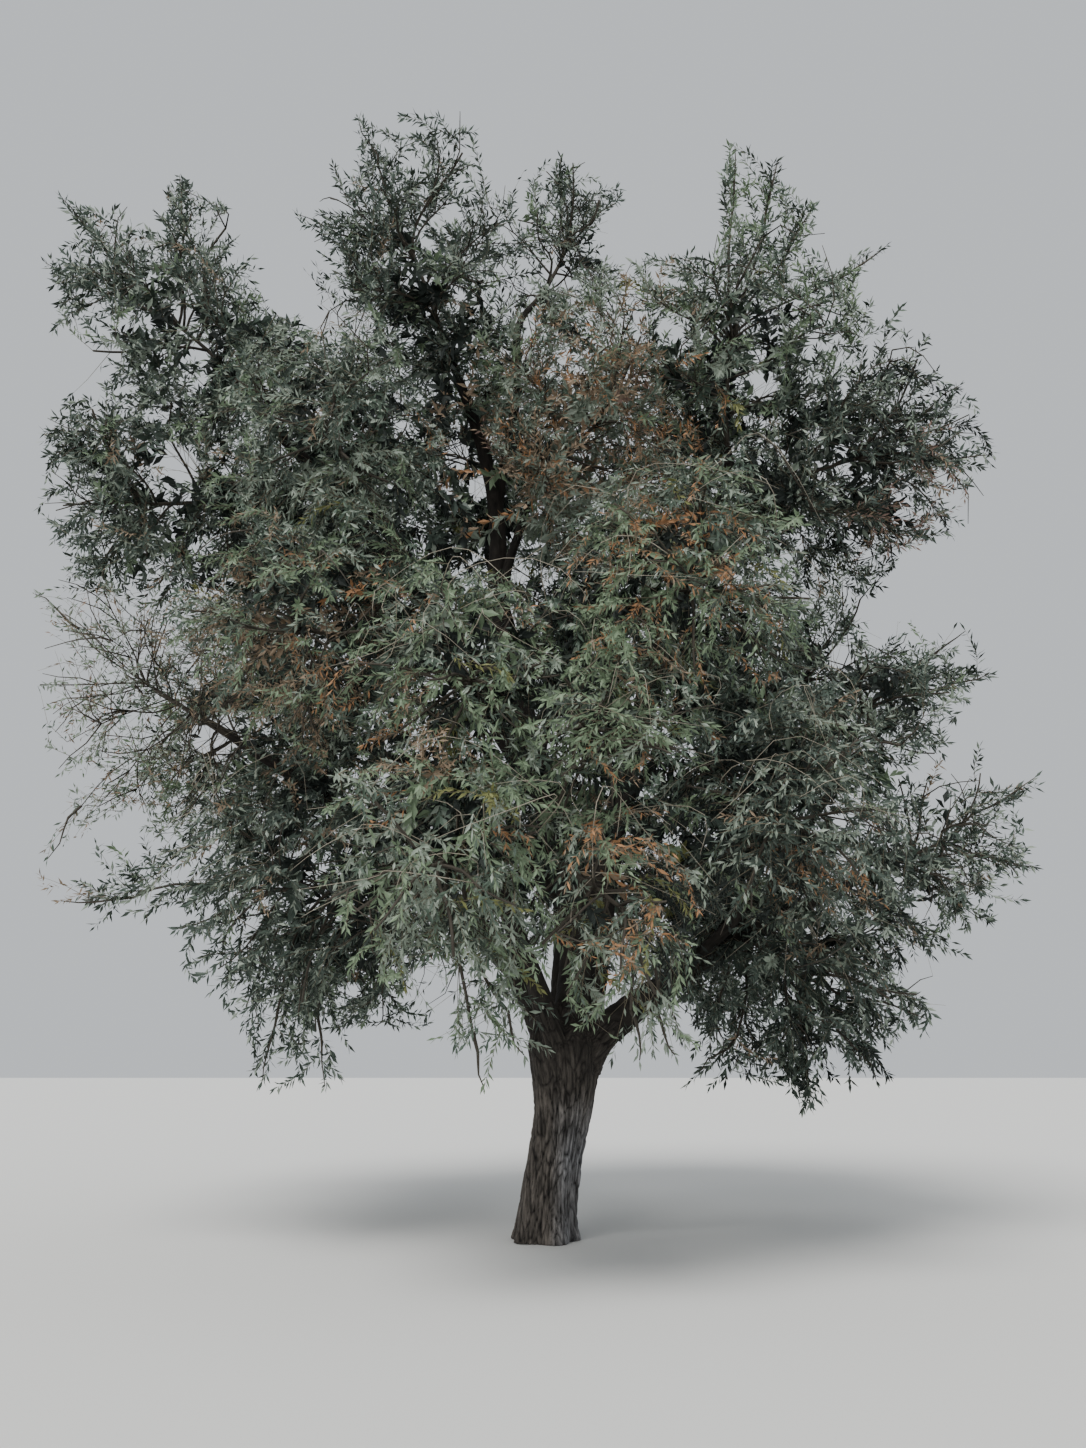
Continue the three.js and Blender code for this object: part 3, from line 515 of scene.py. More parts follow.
def make_limb(mass, limbs):
    """The bough of a mass, from the trunk or from another bough."""
    parent = limbs.get(mass.source)
    start = mass.start if mass.start is not None else parent.route(np.array([mass.share]))[0]
    away = np.array([0.0, 0.0, 1.0]) if mass.start is not None else tangent(parent.route, mass.share)
    reach = np.linalg.norm(start - mass.middle)
    bend = start + (mass.middle - start) * BEND["on"] + away * BEND["away"] * reach
    last = mass.via[-1] if mass.via else bend
    surface = mass.middle + (last - mass.middle) / depth_in(mass, last)
    share = ENTRY["share"]
    entry = mass.middle + (surface - mass.middle) * share
    while share > ENTRY["least"] and not in_space(mass, entry[None])[0]:
        share -= ENTRY["step"]
        entry = mass.middle + (surface - mass.middle) * share
    points = [start, *mass.via, entry]
    length = sum(np.linalg.norm(b - a) for a, b in zip(points, points[1:]))
    random = seeded(SEEDS["limb"] + mass.index)
    turns = [random() * 2 * math.pi, random() * 2 * math.pi]

    def route(shares):
        main = through(points, shares) if mass.via else bowed(start, bend, entry, shares)
        swing = CROOK["share"] * min(length, CROOK["longest"]) * np.sin(math.pi * shares)
        sideways = np.sin(CROOK["waves"][0] * shares + turns[0])
        forward = np.cos(CROOK["waves"][1] * shares + turns[1])
        return main + np.stack([sideways, forward, 0 * shares], axis=1) * swing[:, None]

    def radius_at(shares):
        collar = 1 + COLLAR["swell"] * np.exp(-shares * length / (COLLAR["length"] * mass.foot))
        return BOUGH_TIP + (mass.foot * collar - BOUGH_TIP) * np.clip(1 - shares, 0, 1) ** TAPER

    return Limb(route, radius_at, length, mass.index)


def distance_to_limbs(points, limbs):
    """How far points are from the surface of the nearest bough."""
    least = np.full(len(points), np.inf)
    for limb in limbs.values():
        apart = np.linalg.norm(points[:, None] - limb.beads[None], axis=2) - limb.bead_radii
        least = np.minimum(least, apart.min(axis=1))
    return least


# Meshes


def make_mesh(name, vertices, face_sets, materials, smooth=True):
    """A mesh piece. A face set is an array of faces with one number of corners, and their materials."""
    mesh = bpy.data.meshes.new(name)
    loops = np.concatenate([faces.ravel() for faces, _ in face_sets])
    corners = np.concatenate([np.full(len(faces), faces.shape[1]) for faces, _ in face_sets])
    numbers = np.concatenate([np.broadcast_to(number, len(faces)) for faces, number in face_sets])
    starts = np.concatenate([[0], np.cumsum(corners)[:-1]])
    mesh.vertices.add(len(vertices))
    mesh.vertices.foreach_set("co", np.asarray(vertices, np.float32).ravel())
    mesh.loops.add(len(loops))
    mesh.loops.foreach_set("vertex_index", loops.astype(np.int32))
    mesh.polygons.add(len(starts))
    mesh.polygons.foreach_set("loop_start", starts.astype(np.int32))
    mesh.polygons.foreach_set("material_index", numbers.astype(np.int32))
    for material in materials:
        mesh.materials.append(material)
    mesh.update(calc_edges=True)
    if smooth:
        mesh.shade_smooth()
    else:
        mesh.shade_flat()
    piece = bpy.data.objects.new(name, mesh)
    bpy.context.scene.collection.objects.link(piece)
    return piece


def stand_for(piece, node):
    """Puts a piece in the place of a solid."""
    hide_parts(node)
    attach(piece, "root")


def curves(starts, bends, ends, steps):
    """Bowed curves, one for each start, as points at equal shares."""
    return bowed(starts[:, None], bends[:, None], ends[:, None], np.linspace(0, 1, steps + 1))


def wander(lines, rng, share):
    """Sways lines from side to side between their ends, by a share of their length, in two waves."""
    count, stations = lines.shape[:2]
    s = np.linspace(0, 1, stations)[None, :]
    length = np.linalg.norm(lines[:, -1] - lines[:, 0], axis=1)[:, None, None]
    first, second = rng.normal(size=(2, count, 1, 3))
    sway = first * np.sin(math.pi * s)[..., None] + second * np.sin(2 * math.pi * s)[..., None]
    lines += sway * share * length * WAVE


def slopes(lines):
    """The directions of curves at their points."""
    return unit(np.gradient(lines, axis=1))


def tube_faces(index):
    """The side and end faces of tubes whose vertices are numbered by station and side."""
    turned = np.roll(index, -1, axis=-1)
    corners = [index[..., :-1, :], turned[..., :-1, :], turned[..., 1:, :], index[..., 1:, :]]
    sides = index.shape[-1]
    ends = np.concatenate([index[..., 0, ::-1].reshape(-1, sides), index[..., -1, :].reshape(-1, sides)])
    return np.stack(corners, axis=-1).reshape(-1, 4), ends


def tubes(lines, radii, sides):
    """Closed tubes round lines, with a radius for each point: their vertices, side faces and end faces."""
    count, stations = lines.shape[:2]
    ahead = slopes(lines)
    chord = unit(lines[:, -1] - lines[:, 0])
    least = np.eye(3)[np.argmin(np.abs(chord), axis=1)]
    side = unit(np.cross(ahead, least[:, None]))
    other = np.cross(ahead, side)
    angles = np.arange(sides) * 2 * math.pi / sides
    ring = side[:, :, None] * np.cos(angles)[:, None] + other[:, :, None] * np.sin(angles)[:, None]
    vertices = lines[:, :, None] + ring * np.broadcast_to(radii, (count, stations))[..., None, None]
    walls, ends = tube_faces(np.arange(count * stations * sides).reshape(count, stations, sides))
    return vertices.reshape(-1, 3), walls, ends


class Wood:
    """Twigs of all orders in one mass, gathered into one mesh, and the points that finer twigs can leave."""

    def __init__(self, foot):
        self.foot = foot
        self.vertices, self.face_sets, self.count = [], [], 0
        self.points, self.ahead = [], []

    def add(self, lines, size, sides, material=0, slim=1.0):
        """Adds tubes along lines, which taper from one radius to another."""
        radii = slim * np.linspace(size["foot"], size["tip"], lines.shape[1])[None]
        vertices, walls, ends = tubes(lines, radii, sides)
        self.face_sets += [(walls + self.count, material), (ends + self.count, material)]
        self.vertices.append(vertices)
        self.count += len(vertices)

    def offer(self, lines, skip):
        """Lets finer twigs leave lines, except at their first points."""
        self.points.append(lines[:, skip:].reshape(-1, 3))
        self.ahead.append(slopes(lines)[:, skip:].reshape(-1, 3))

    def grow_to(self, targets, droop, steps, reach):
        """Curves to the targets, each from the point that suits it best on the way out from the foot."""
        points = np.concatenate(self.points)
        ahead = np.concatenate(self.ahead)
        out_points = np.linalg.norm(points - self.foot, axis=1)
        out_targets = np.linalg.norm(targets - self.foot, axis=1)
        cost = np.abs(np.linalg.norm(targets[:, None] - points[None], axis=2) - reach)
        further = np.maximum(0, out_points[None] - START_COST["slack"] * out_targets[:, None])
        below = np.maximum(0, targets[:, None, 2] - points[None, :, 2] + START_COST["rise"])
        cost += START_COST["outwards"] * further
        cost += START_COST["below"] * droop * below
        chosen = np.argmin(cost, axis=1)
        starts, leaving = points[chosen], ahead[chosen]
        length = np.linalg.norm(targets - starts, axis=1)[:, None]
        bends = starts + (targets - starts) * TWIG_BEND["at"] + leaving * TWIG_BEND["on"] * length
        bends[:, 2] += droop * TWIG_BEND["up"] * length[:, 0]
        return curves(starts, bends, targets, steps), length[:, 0]


# Foliage


def directions(count, turn):
    """Directions spread evenly on all sides, turned by an angle."""
    k = np.arange(count)
    z = 1 - (2 * k + 1) / count
    ring = np.sqrt(1 - z * z)
    angles = k * GOLDEN_ANGLE + turn
    return np.stack([ring * np.cos(angles), ring * np.sin(angles), z], axis=1)


def stem_route(mass, limb):
    """The curve of a mass's stem, from its bough's end to a little past the mass's middle."""
    ahead = tangent(limb.route, 1.0)
    start = limb.route(np.array([1.0]))[0]
    end = mass.middle + (mass.middle - start) * STEM["past"]
    bend = start + ahead * STEM["bend"] * np.linalg.norm(start - mass.middle)
    return lambda shares: bowed(start, bend, end, shares)


def twig_ends(mass, stem, target):
    """Where a first twig leaves the stem, and the bend that it passes."""
    foot, tip = stem(np.array([0.0, 1.0]))
    axis = tip - foot
    along = (target - foot) @ axis / (axis @ axis)
    start = stem(np.array([np.clip(STEM["lag"] * along, *STEM["twigs"])]))[0]
    bend = start + (target - start) * TWIG["bend"] + axis * TWIG["on"]
    bend[2] += mass.droop * np.linalg.norm(start - target) * TWIG["bow"]
    return start, bend


def first_twigs(mass, stem, limbs, count, turn):
    """Starts, bends and ends of the twigs that leave the stem to all sides, as far out as they have room."""
    found = []
    for direction in directions(count, turn):
        direction[2] -= mass.droop
        direction = unit(direction)
        for share in np.arange(REACH["most"], REACH["least"] - 1e-6, -REACH["step"]):
            target = in_mass(mass, direction, share)
            if in_space(mass, target[None])[0] and distance_to_limbs(target[None], limbs)[0] > LIMB_ROOM:
                found.append((*twig_ends(mass, stem, target), target))
                break
    return found


def growth(mass, points):
    """Whether points are where a mass's finer growth goes, and whether they are in a hollow inside the crown.

    The growth fills the mass, and the hollows between it and its neighbours where they are nearer to it."""
    own = depth_in(mass, points)
    mine = np.ones(len(points), bool)
    field = np.clip(1 - (own / FILL["reach"]) ** 2, 0, 1) ** 2
    for other in MASSES:
        if other is not mass:
            depth = depth_in(other, points)
            mine &= depth > own
            field += np.clip(1 - (depth / FILL["reach"]) ** 2, 0, 1) ** 2
    hollow = (own > OUTER) & behind_foliage(points)
    inside = mine & ((own < OUTER) | ((own < FILL["furthest"]) & (hollow | (field > FILL["level"]))))
    return inside, hollow


def behind_foliage(points):
    """Whether a mass lies further out than a point, seen from the heart of the crown."""
    behind = np.zeros(len(points), bool)
    for times in FURTHER_OUT["times"]:
        out = CROWN_HEART + (points - CROWN_HEART) * times
        for mass in MASSES:
            behind |= depth_in(mass, out) < FURTHER_OUT["depth"]
    return behind


def spread_targets(mass, limbs, rng, per_m3, low, high, hollows):
    """Points spread evenly through a mass's growth between two depths, away from the limbs and the clearings.

    With hollows, those in the hollows inside the crown are among them, and otherwise none of these are."""
    volume = 4 / 3 * math.pi * float(np.prod(mass.radii)) * FILL["furthest"] ** 3
    count = int(volume * per_m3)
    shares = FILL["furthest"] * rng.random(count) ** (1 / 3)
    targets = in_mass(mass, unit(rng.normal(size=(count, 3))), shares)
    inside, hollow = growth(mass, targets)
    depth = depth_in(mass, targets)
    between = (depth > low) & (depth < high)
    targets = targets[inside & ((between | hollow) if hollows else (between & ~hollow))]
    targets = targets[distance_to_limbs(targets, limbs) > LIMB_ROOM]
    low_corner, high_corner = (np.array(corner) for corner in SOLID_BOX)
    targets = targets[np.all((targets > low_corner - BOX_ROOM) & (targets < high_corner + BOX_ROOM), axis=1)]
    return targets[not_cleared(targets, rng)]


def not_cleared(points, rng):
    """Whether points stay where the clearings are. Their edges are ragged."""
    kept = np.ones(len(points), bool)
    for place, half_width, share, in_front in CLEARINGS:
        sight = np.array(place) - EYE
        along = (points - EYE) @ sight / (sight @ sight)
        off = np.linalg.norm(points - EYE - along[:, None] * sight, axis=1) / (half_width * along)
        taken = share * np.clip((RAGGED["end"] - off) / RAGGED["wide"], 0, 1)
        if in_front:
            taken = np.where(along < 1, taken, 0)
        kept &= rng.random(len(points)) >= taken
    return kept


def leader_targets(mass, tip, rng):
    """Points close round a leader, out to its tip."""
    sideways = np.linalg.norm((tip - mass.middle)[:2])
    fan = mass.droop * sideways
    count = round(LEADER["shoots"] * (1 + LEADER_DROOP["more"] * fan))
    along = LEADER["from"] + LEADER["over"] * rng.random(count)
    line = mass.middle + (tip - mass.middle) * along[:, None]
    line[:, 2] += mass.droop * LEADER_DROOP["arch"] * sideways * np.sin(math.pi * along)
    narrowing = LEADER["narrow"] - along * (1 - LEADER_DROOP["wider"] * fan)
    room = LEADER_ROOM * LEADER["room"] * (1 + LEADER_DROOP["room"] * mass.droop) * narrowing[:, None]
    return np.concatenate([line + unit(rng.normal(size=line.shape)) * room, tip[None]])


def leaves_on(lines, kind, leafy, shares, rng, kept, droop):
    """Leaves in crossed pairs along the outer part of each shoot: four points to a leaf, and its shoot.

    The shares say how long and how wide each shoot's leaves are beside others of their kind."""
    count, pairs = len(lines), kind["pairs"]
    steps = lines.shape[1] - 1
    along = 1 - leafy[:, None] * (1 - np.linspace(0.0, 1.0, pairs)[None])
    place = along * steps
    low = np.minimum(place.astype(int), steps - 1)
    part = (place - low)[..., None]
    row = np.arange(count)[:, None]
    roots = lines[row, low] * (1 - part) + lines[row, low + 1] * part
    ahead = unit(lines[row, low + 1] - lines[row, low])
    across = unit(np.cross(ahead, unit(rng.normal(size=(count, 1, 3)))))
    up = np.cross(ahead, across)
    turn = rng.random((count, 1)) * 2 * math.pi + np.arange(pairs) * math.pi / 2
    turn = turn[..., None] + np.array([0.0, math.pi]) + rng.normal(size=(count, pairs, 2)) * LEAF["turn"]
    side = across[:, :, None] * np.cos(turn)[..., None] + up[:, :, None] * np.sin(turn)[..., None]
    lean = kind["lean"] + rng.normal(size=turn.shape) * LEAF_LEAN["spread"]
    lean[:, -1] *= LEAF_LEAN["last"]
    ahead = np.broadcast_to(ahead[:, :, None], side.shape)
    axis = ahead * np.cos(lean)[..., None] + side * np.sin(lean)[..., None]
    axis[..., 2] -= LEAF["droop"] + LEAF["hang"] * droop
    axis = unit(axis)
    face = unit(np.cross(axis, np.cross(ahead, axis)) + rng.normal(size=axis.shape) * LEAF_LEAN["tilt"])
    wide = unit(np.cross(axis, face))
    face = np.cross(wide, axis)
    size = kind["long"] * (1 + LEAF["spread"] * rng.normal(size=turn.shape).clip(-LEAF["most"], LEAF["most"]))
    wave = np.sin(np.linspace(*ALONG_SHOOT["wave"], pairs))
    size *= (ALONG_SHOOT["least"] + ALONG_SHOOT["more"] * wave)[None, :, None]
    longer, wider = shares
    size *= longer[:, None, None]
    keep = rng.random(turn.shape) < kept
    middles = roots[:, :, None] + axis * size[..., None] / 2
    keep &= not_cleared(middles.reshape(-1, 3), rng).reshape(turn.shape)
    shoot = np.broadcast_to(np.arange(count)[:, None, None], turn.shape)[keep]
    root = np.broadcast_to(roots[:, :, None], side.shape)[keep]
    axis, wide, face, size = axis[keep], wide[keep], face[keep], size[keep][:, None]
    half = size * kind["wide"] / 2 * wider[shoot][:, None]
    middle = root + axis * size * LEAF["widest"] + face * half * LEAF["fold"]
    return np.stack([root, middle - wide * half, root + axis * size, middle + wide * half], axis=1), shoot


def shoot_tints(mass, places, rng):
    """The tint of each shoot: the mass's own mix, and other tints in the patches that have them."""
    mix = SPRAY_MIX[mass.tone]
    weights = np.array(list(mix.values()))
    dealt = rng.choice([TINT_NUMBER[name] for name in mix], size=len(places), p=weights / weights.sum())
    for middle, radius, tint, share in PATCHES:
        apart = np.linalg.norm(places - np.array(middle), axis=1) / radius
        taken = rng.random(len(places)) < share * np.clip(PATCH_EDGE - apart, 0, 1)
        dealt[taken] = TINT_NUMBER[tint]
    return dealt


def leaf_tints(tints, rng):
    """The tint of each leaf: its shoot's, or its pale side's, and a few others on dry shoots."""
    dealt = tints.copy()
    chance = rng.random(len(tints))
    for name, other in PALE_SIDES.items():
        dealt[(tints == TINT_NUMBER[name]) & (chance < PALE_SIDE)] = TINT_NUMBER[other]
    for name in DRY_TINTS:
        dealt[(tints == TINT_NUMBER[name]) & (chance < DRY_SHOOT["brown_below"])] = TINT_NUMBER["brown"]
        dealt[(tints == TINT_NUMBER[name]) & (chance > DRY_SHOOT["green_above"])] = TINT_NUMBER["grey_green"]
    return dealt


def light_and_shade(mass, tints, behind, outside, rng):
    """Paints shade on some shoots of the shaded inside with a dark tint, and light on some dark ones of the
    outside with a lighter tint.
    """
    if not outside:
        # Painted shade: some inner shoots get the dark shade tint.
        share = np.where(behind, IN_SHADE["behind"], IN_SHADE["else"])
        share = IN_SHADE["dry"] if mass.tone == "dry" else share
        tints[rng.random(len(tints)) < share] = TINT_NUMBER["shade"]
    elif mass.tone != "dry":
        # Painted light: some dark outer shoots get a lighter tint.
        deep = ~behind & (tints == TINT_NUMBER["deep"])
        lit = deep & (rng.random(len(tints)) < mass.habit["lit"])
        tints[lit] = TINT_NUMBER["bright" if mass.tone == "green" else "silver"]


def leaf_shares(tints, behind, outside):
    """How long and how wide the leaves of each shoot are beside others of their kind."""
    dry = np.isin(tints, [TINT_NUMBER[name] for name in DRY_TINTS])
    long = np.where(dry, DRY_LEAF["long"], 1.0)
    wide = np.where(dry, DRY_LEAF["wide"], 1.0)
    if not outside:
        long *= np.where(behind, BEHIND["long"], BEHIND["else_long"])
        wide *= np.where(behind, BEHIND["wide"], 1.0)
    return long, wide


def grow_arches(mass, wood, turn, rng):
    """The long bare shoots of a mass that hangs low."""
    facing = directions(4 * ARCH["count"], turn)
    facing = facing[(facing[:, 1] < ARCH_FACES["front"]) & (facing[:, 2] < ARCH_FACES["up"])][:ARCH["count"]]
    facing = facing[growth(mass, in_mass(mass, facing, np.full(len(facing), ARCH["from"])))[0]]
    targets = in_mass(mass, facing, np.full(len(facing), ARCH["depth"]))
    lines, _ = wood.grow_to(targets, ARCH["rise"], STEPS["arch"], ARCH["reach"])
    wander(lines, rng, WANDER["arch"])
    wood.add(lines, ARCH, SIDES["fine"], material=ARCHING_SHOOT)


def grow_wood(mass, limbs, rng):
    """The stem, first twigs and branchlets of a mass."""
    stem = stem_route(mass, limbs[mass.name])
    wood = Wood(stem(np.array([0.0]))[0])
    line = stem(np.linspace(0, 1, STEPS["stem"] + 1))[None]
    wood.add(line, {"foot": BOUGH_TIP, "tip": STEM["tip"]}, SIDES["stem"])
    wood.offer(line, 2)

    # The first twigs are the source's own. More of them leave the stem between.
    turn = seeded(SEEDS["twigs"] + mass.index)() * 2 * math.pi
    own = first_twigs(mass, stem, limbs, TWIG["count"] * mass.habit["own_twigs"], turn)
    leaders = [(tip + unit(mass.middle - tip) * LEADER_BLADE * mass.radius, tip) for tip in mass.tips]
    own += [(*twig_ends(mass, stem, end), end) for end, _ in leaders]
    more = first_twigs(mass, stem, limbs, SIDE_TWIGS, turn + SIDE_TURN)
    more = [twig for twig in more if not_cleared(twig[2][None], rng)[0]]
    for group, size in ((own, TWIG), (more, SIDE_TWIG)):
        if group:
            starts, bends, ends = (np.array(column) for column in zip(*group))
            lines = curves(starts, bends, ends, STEPS["twig"])
            wander(lines, rng, WANDER["twig"])
            wood.add(lines, size, SIDES["twig"], slim=mass.habit["slim"])
            wood.offer(lines, 2)
    for end, tip in leaders:
        line = curves(end[None], (end * 0.5 + tip * 0.5)[None], tip[None], STEPS["leader"])
        wander(line, rng, WANDER["twig"])
        wood.add(line, LEADER_END, SIDES["twig"])
        wood.offer(line, 0)

    if mass.droop:
        grow_arches(mass, wood, turn, rng)
    per_m3 = BRANCHLETS["per_m3"] * mass.habit["branchlets"]
    targets = spread_targets(mass, limbs, rng, per_m3, *BRANCHLETS["depth"], True)
    lines, _ = wood.grow_to(targets, mass.droop, STEPS["branchlet"], REACH_OF["branchlet"])
    wander(lines, rng, WANDER["twig"])
    wood.add(lines, BRANCHLET, SIDES["fine"])
    wood.offer(lines, 1)
    return wood


def grow_mass(mass, limbs, materials):
    """The twigs and leaves of one mass, as two pieces."""
    rng = np.random.default_rng(SEEDS["growth"] + mass.index)
    wood = grow_wood(mass, limbs, rng)
    outlines, tints = [], []
    droop = mass.droop + mass.habit["hang"]
    for kind, high in ((INSIDE, OUTSIDE["depth"]), (OUTSIDE, PAST_ALL)):
        outside = kind is OUTSIDE
        per_m3 = kind["count"] * (mass.full * mass.habit["shoots"])
        targets = spread_targets(mass, limbs, rng, per_m3, kind["depth"], high, not outside)
        if outside:
            targets = np.concatenate([targets, *(leader_targets(mass, tip, rng) for tip in mass.tips)])
        lines, length = wood.grow_to(targets, droop, STEPS["shoot"], REACH_OF["shoot"])
        wander(lines, rng, WANDER["shoot"])
        step = STEPS["shoot"] // 2 if outside else STEPS["shoot"]
        wood.add(lines[:, ::step], SHOOT, SIDES["fine"], material=PALE_SHOOT)
        leafy = kind["leafy"] * (LEAFY["least"] + LEAFY["more"] * rng.random(len(lines)))
        leafy = np.clip(leafy / np.maximum(length, LEAFY["shortest"]), *LEAFY["within"])
        shades = shoot_tints(mass, lines[:, -1], rng)
        behind = behind_foliage(targets)
        light_and_shade(mass, shades, behind, outside, rng)
        # A thin mass has the outside's small leaves all through.
        leafing = dict(OUTSIDE if mass.thin else kind)
        leafing["long"] *= mass.habit["leaf"]
        shares = leaf_shares(shades, behind, outside)
        made, shoot = leaves_on(lines, leafing, leafy, shares, rng, mass.habit["kept"], droop)
        outlines.append(made)
        tints.append(leaf_tints(shades[shoot], rng))
    outlines, tints = np.concatenate(outlines), np.concatenate(tints)

    # Each leaf is a kite, folded along its middle.
    base = np.arange(len(outlines))[:, None] * 4
    halves = [(base + np.array(corners), tints) for corners in ((0, 2, 1), (0, 3, 2))]
    vertices = outlines.reshape(-1, 3)
    leaves = make_mesh("leaves_" + mass.name, vertices, halves, materials["leaves"], smooth=False)
    twigs = make_mesh("twigs_" + mass.name, np.concatenate(wood.vertices), wood.face_sets, materials["twigs"])
    stand_for(leaves, "foliage_" + mass.name)
    stand_for(twigs, "foliage_" + mass.name)


# Bark


def lattice(cells, seed):
    """A value from 0 to 1 for each cell of an endless grid."""
    x, y, z = (cells[..., k].astype(np.int64).astype(np.uint32) for k in range(3))
    with np.errstate(over="ignore"):
        mixed = x * np.uint32(73856093) ^ y * np.uint32(19349663) ^ z * np.uint32(83492791)
        mixed = mixed ^ np.uint32(seed * 9781)
        mixed = (mixed ^ (mixed >> np.uint32(13))) * np.uint32(0x5BD1E995)
        mixed = (mixed ^ (mixed >> np.uint32(15))) * np.uint32(0x27D4EB2D)
    return (mixed ^ (mixed >> np.uint32(16))) / 4294967296


def noise(points, seed):
    """Smooth noise from 0 to 1 with a grain of one unit."""
    base = np.floor(points)
    part = points - base
    part = part * part * (3 - 2 * part)
    total = 0
    for corner in np.ndindex(2, 2, 2):
        weight = np.prod(np.where(corner, part, 1 - part), axis=-1)
        total = total + weight * lattice(base + corner, seed)
    return total


def plate_edges(cells, seed):
    """How near points are to the edges of irregular cells: 0 inside the cells, 1 at their edges."""
    base = np.floor(cells)
    nearest = np.full(cells.shape[:-1], np.inf)
    second = nearest.copy()
    for step in np.ndindex(3, 3, 3):
        cell = base + step - 1
        random = np.stack([lattice(cell, seed + k) for k in range(3)], axis=-1)
        apart = np.linalg.norm(cells - (cell + PLATE["from"] + PLATE["over"] * random), axis=-1)
        second = np.minimum(second, np.maximum(apart, nearest))
        nearest = np.minimum(nearest, apart)
    return 1 - np.clip((second - nearest) / PLATE["edge"], 0, 1)


def bark_relief(places, scale=1.0):
    """How far bark stands in from its surface, from 0 to 1. The third coordinate runs along the grain."""
    cells = places / (np.array(FURROW["plate"]) * scale)
    bend = np.stack(
        [
            noise(cells * RELIEF_CELLS["bend"] + k * RELIEF_CELLS["apart"], BARK_SEEDS["bend"] + k)
            for k in range(3)
        ],
        axis=-1,
    ) - 0.5
    furrows = plate_edges(cells + bend * RELIEF["bend"], BARK_SEEDS["plates"]) ** RELIEF["sharp"]
    strands = np.abs(2 * noise(cells * RELIEF_CELLS["strands"] + bend, BARK_SEEDS["strands"]) - 1)
    gaps = 1 - np.clip(strands / RELIEF["strand_width"], 0, 1)
    return np.clip(RELIEF["furrows"] * furrows + RELIEF["strands"] * gaps, 0, 1)


def trunk_grain(points):
    """Points in the trunk's own grain, which leans and turns with it, and how far outside it they are."""
    height, at_x, at_y, radius = TRUNK_STATIONS[:-2].T
    z = points[:, 2]
    radius = np.interp(z, height, radius)
    x = points[:, 0] - np.interp(z, height, at_x)
    y = points[:, 1] - np.interp(z, height, at_y)
    outside = np.hypot(x, y) - radius + FORK_END * np.maximum(0, z - height[-1])
    x, y = x * TRUNK_GIRTH / radius, y * TRUNK_GIRTH / radius
    turn = GRAIN_TURN * z
    sideways = x * np.cos(turn) - y * np.sin(turn)
    forward = x * np.sin(turn) + y * np.cos(turn)
    return np.stack([sideways, forward, z], axis=1), outside


def limb_grain(limb, points):
    """Points near a bough's foot in the bough's own grain, and how far outside it they are."""
    shares = np.linspace(0, min(1.0, FOOT_GRAIN["times"] * STUB / limb.length), FOOT_GRAIN["steps"] + 1)
    at, side, other = limb_frame(limb.route, shares)
    nearest = np.argmin(np.linalg.norm(points[:, None] - at[None], axis=2), axis=1)
    offset = points - at[nearest]
    x = np.sum(offset * side[nearest], axis=1)
    y = np.sum(offset * other[nearest], axis=1)
    far = shares[nearest] * limb.length + np.sum(offset * np.cross(side, other)[nearest], axis=1)
    outside = np.linalg.norm(offset, axis=1) - limb.radius_at(shares[nearest])
    return np.stack([x + GRAIN_APART * limb.number, y, far], axis=1), outside


def limb_frame(route, shares):
    """The points along a route, and two directions across it at each that don't turn round it."""
    at = route(shares)
    ahead = unit(np.gradient(at, axis=0))
    side = unit(np.cross(ahead[0], (0, 1, 0) if abs(ahead[0][2]) > UPRIGHT else (0, 0, 1)))
    sides = []
    for direction in ahead:
        side = unit(side - direction * (side @ direction))
        sides.append(side)
    sides = np.array(sides)
    return at, sides, np.cross(ahead, sides)


def limb_tube(limb, first, last, step, sides, relief):
    """A closed tube along a stretch of a limb, and how deep in the bark and where in the grain it is."""
    stations = max(3, int(round((last - first) * limb.length / step))) + 1
    shares = np.linspace(first, last, stations)
    at, side, other = limb_frame(limb.route, shares)
    radius = limb.radius_at(shares)
    angles = np.arange(sides) * 2 * math.pi / sides
    ring = side[:, None] * np.cos(angles)[None, :, None] + other[:, None] * np.sin(angles)[None, :, None]
    far = np.broadcast_to((shares * limb.length)[:, None], (stations, sides))
    across = radius[:, None] * np.cos(angles) + GRAIN_APART * limb.number
    grain = np.stack([across, radius[:, None] * np.sin(angles), far], axis=-1)
    depth = np.zeros((stations, sides))
    if relief:
        scale = np.clip(radius.mean() / BOUGH_BARK["full_at"], BOUGH_BARK["least"], 1.0)
        depth = bark_relief(grain, scale)
        thick = np.minimum(FURROW["depth"] * scale, BOUGH_BARK["share"] * radius[:, None])
        ribs = np.sin(BOUGH_BARK["ribs"] * angles + far * BOUGH_BARK["rib_turn"] + limb.number)
        radius = radius[:, None] * (1 + BOUGH_BARK["rib"] * ribs) - depth * thick
    else:
        radius = np.broadcast_to(radius[:, None], (stations, sides))
    vertices = at[:, None] + ring * radius[..., None]
    walls, ends = tube_faces(np.arange(stations * sides).reshape(stations, sides))
    return vertices.reshape(-1, 3), [(walls, 0), (ends, 0)], depth.ravel(), grain.reshape(-1, 3)


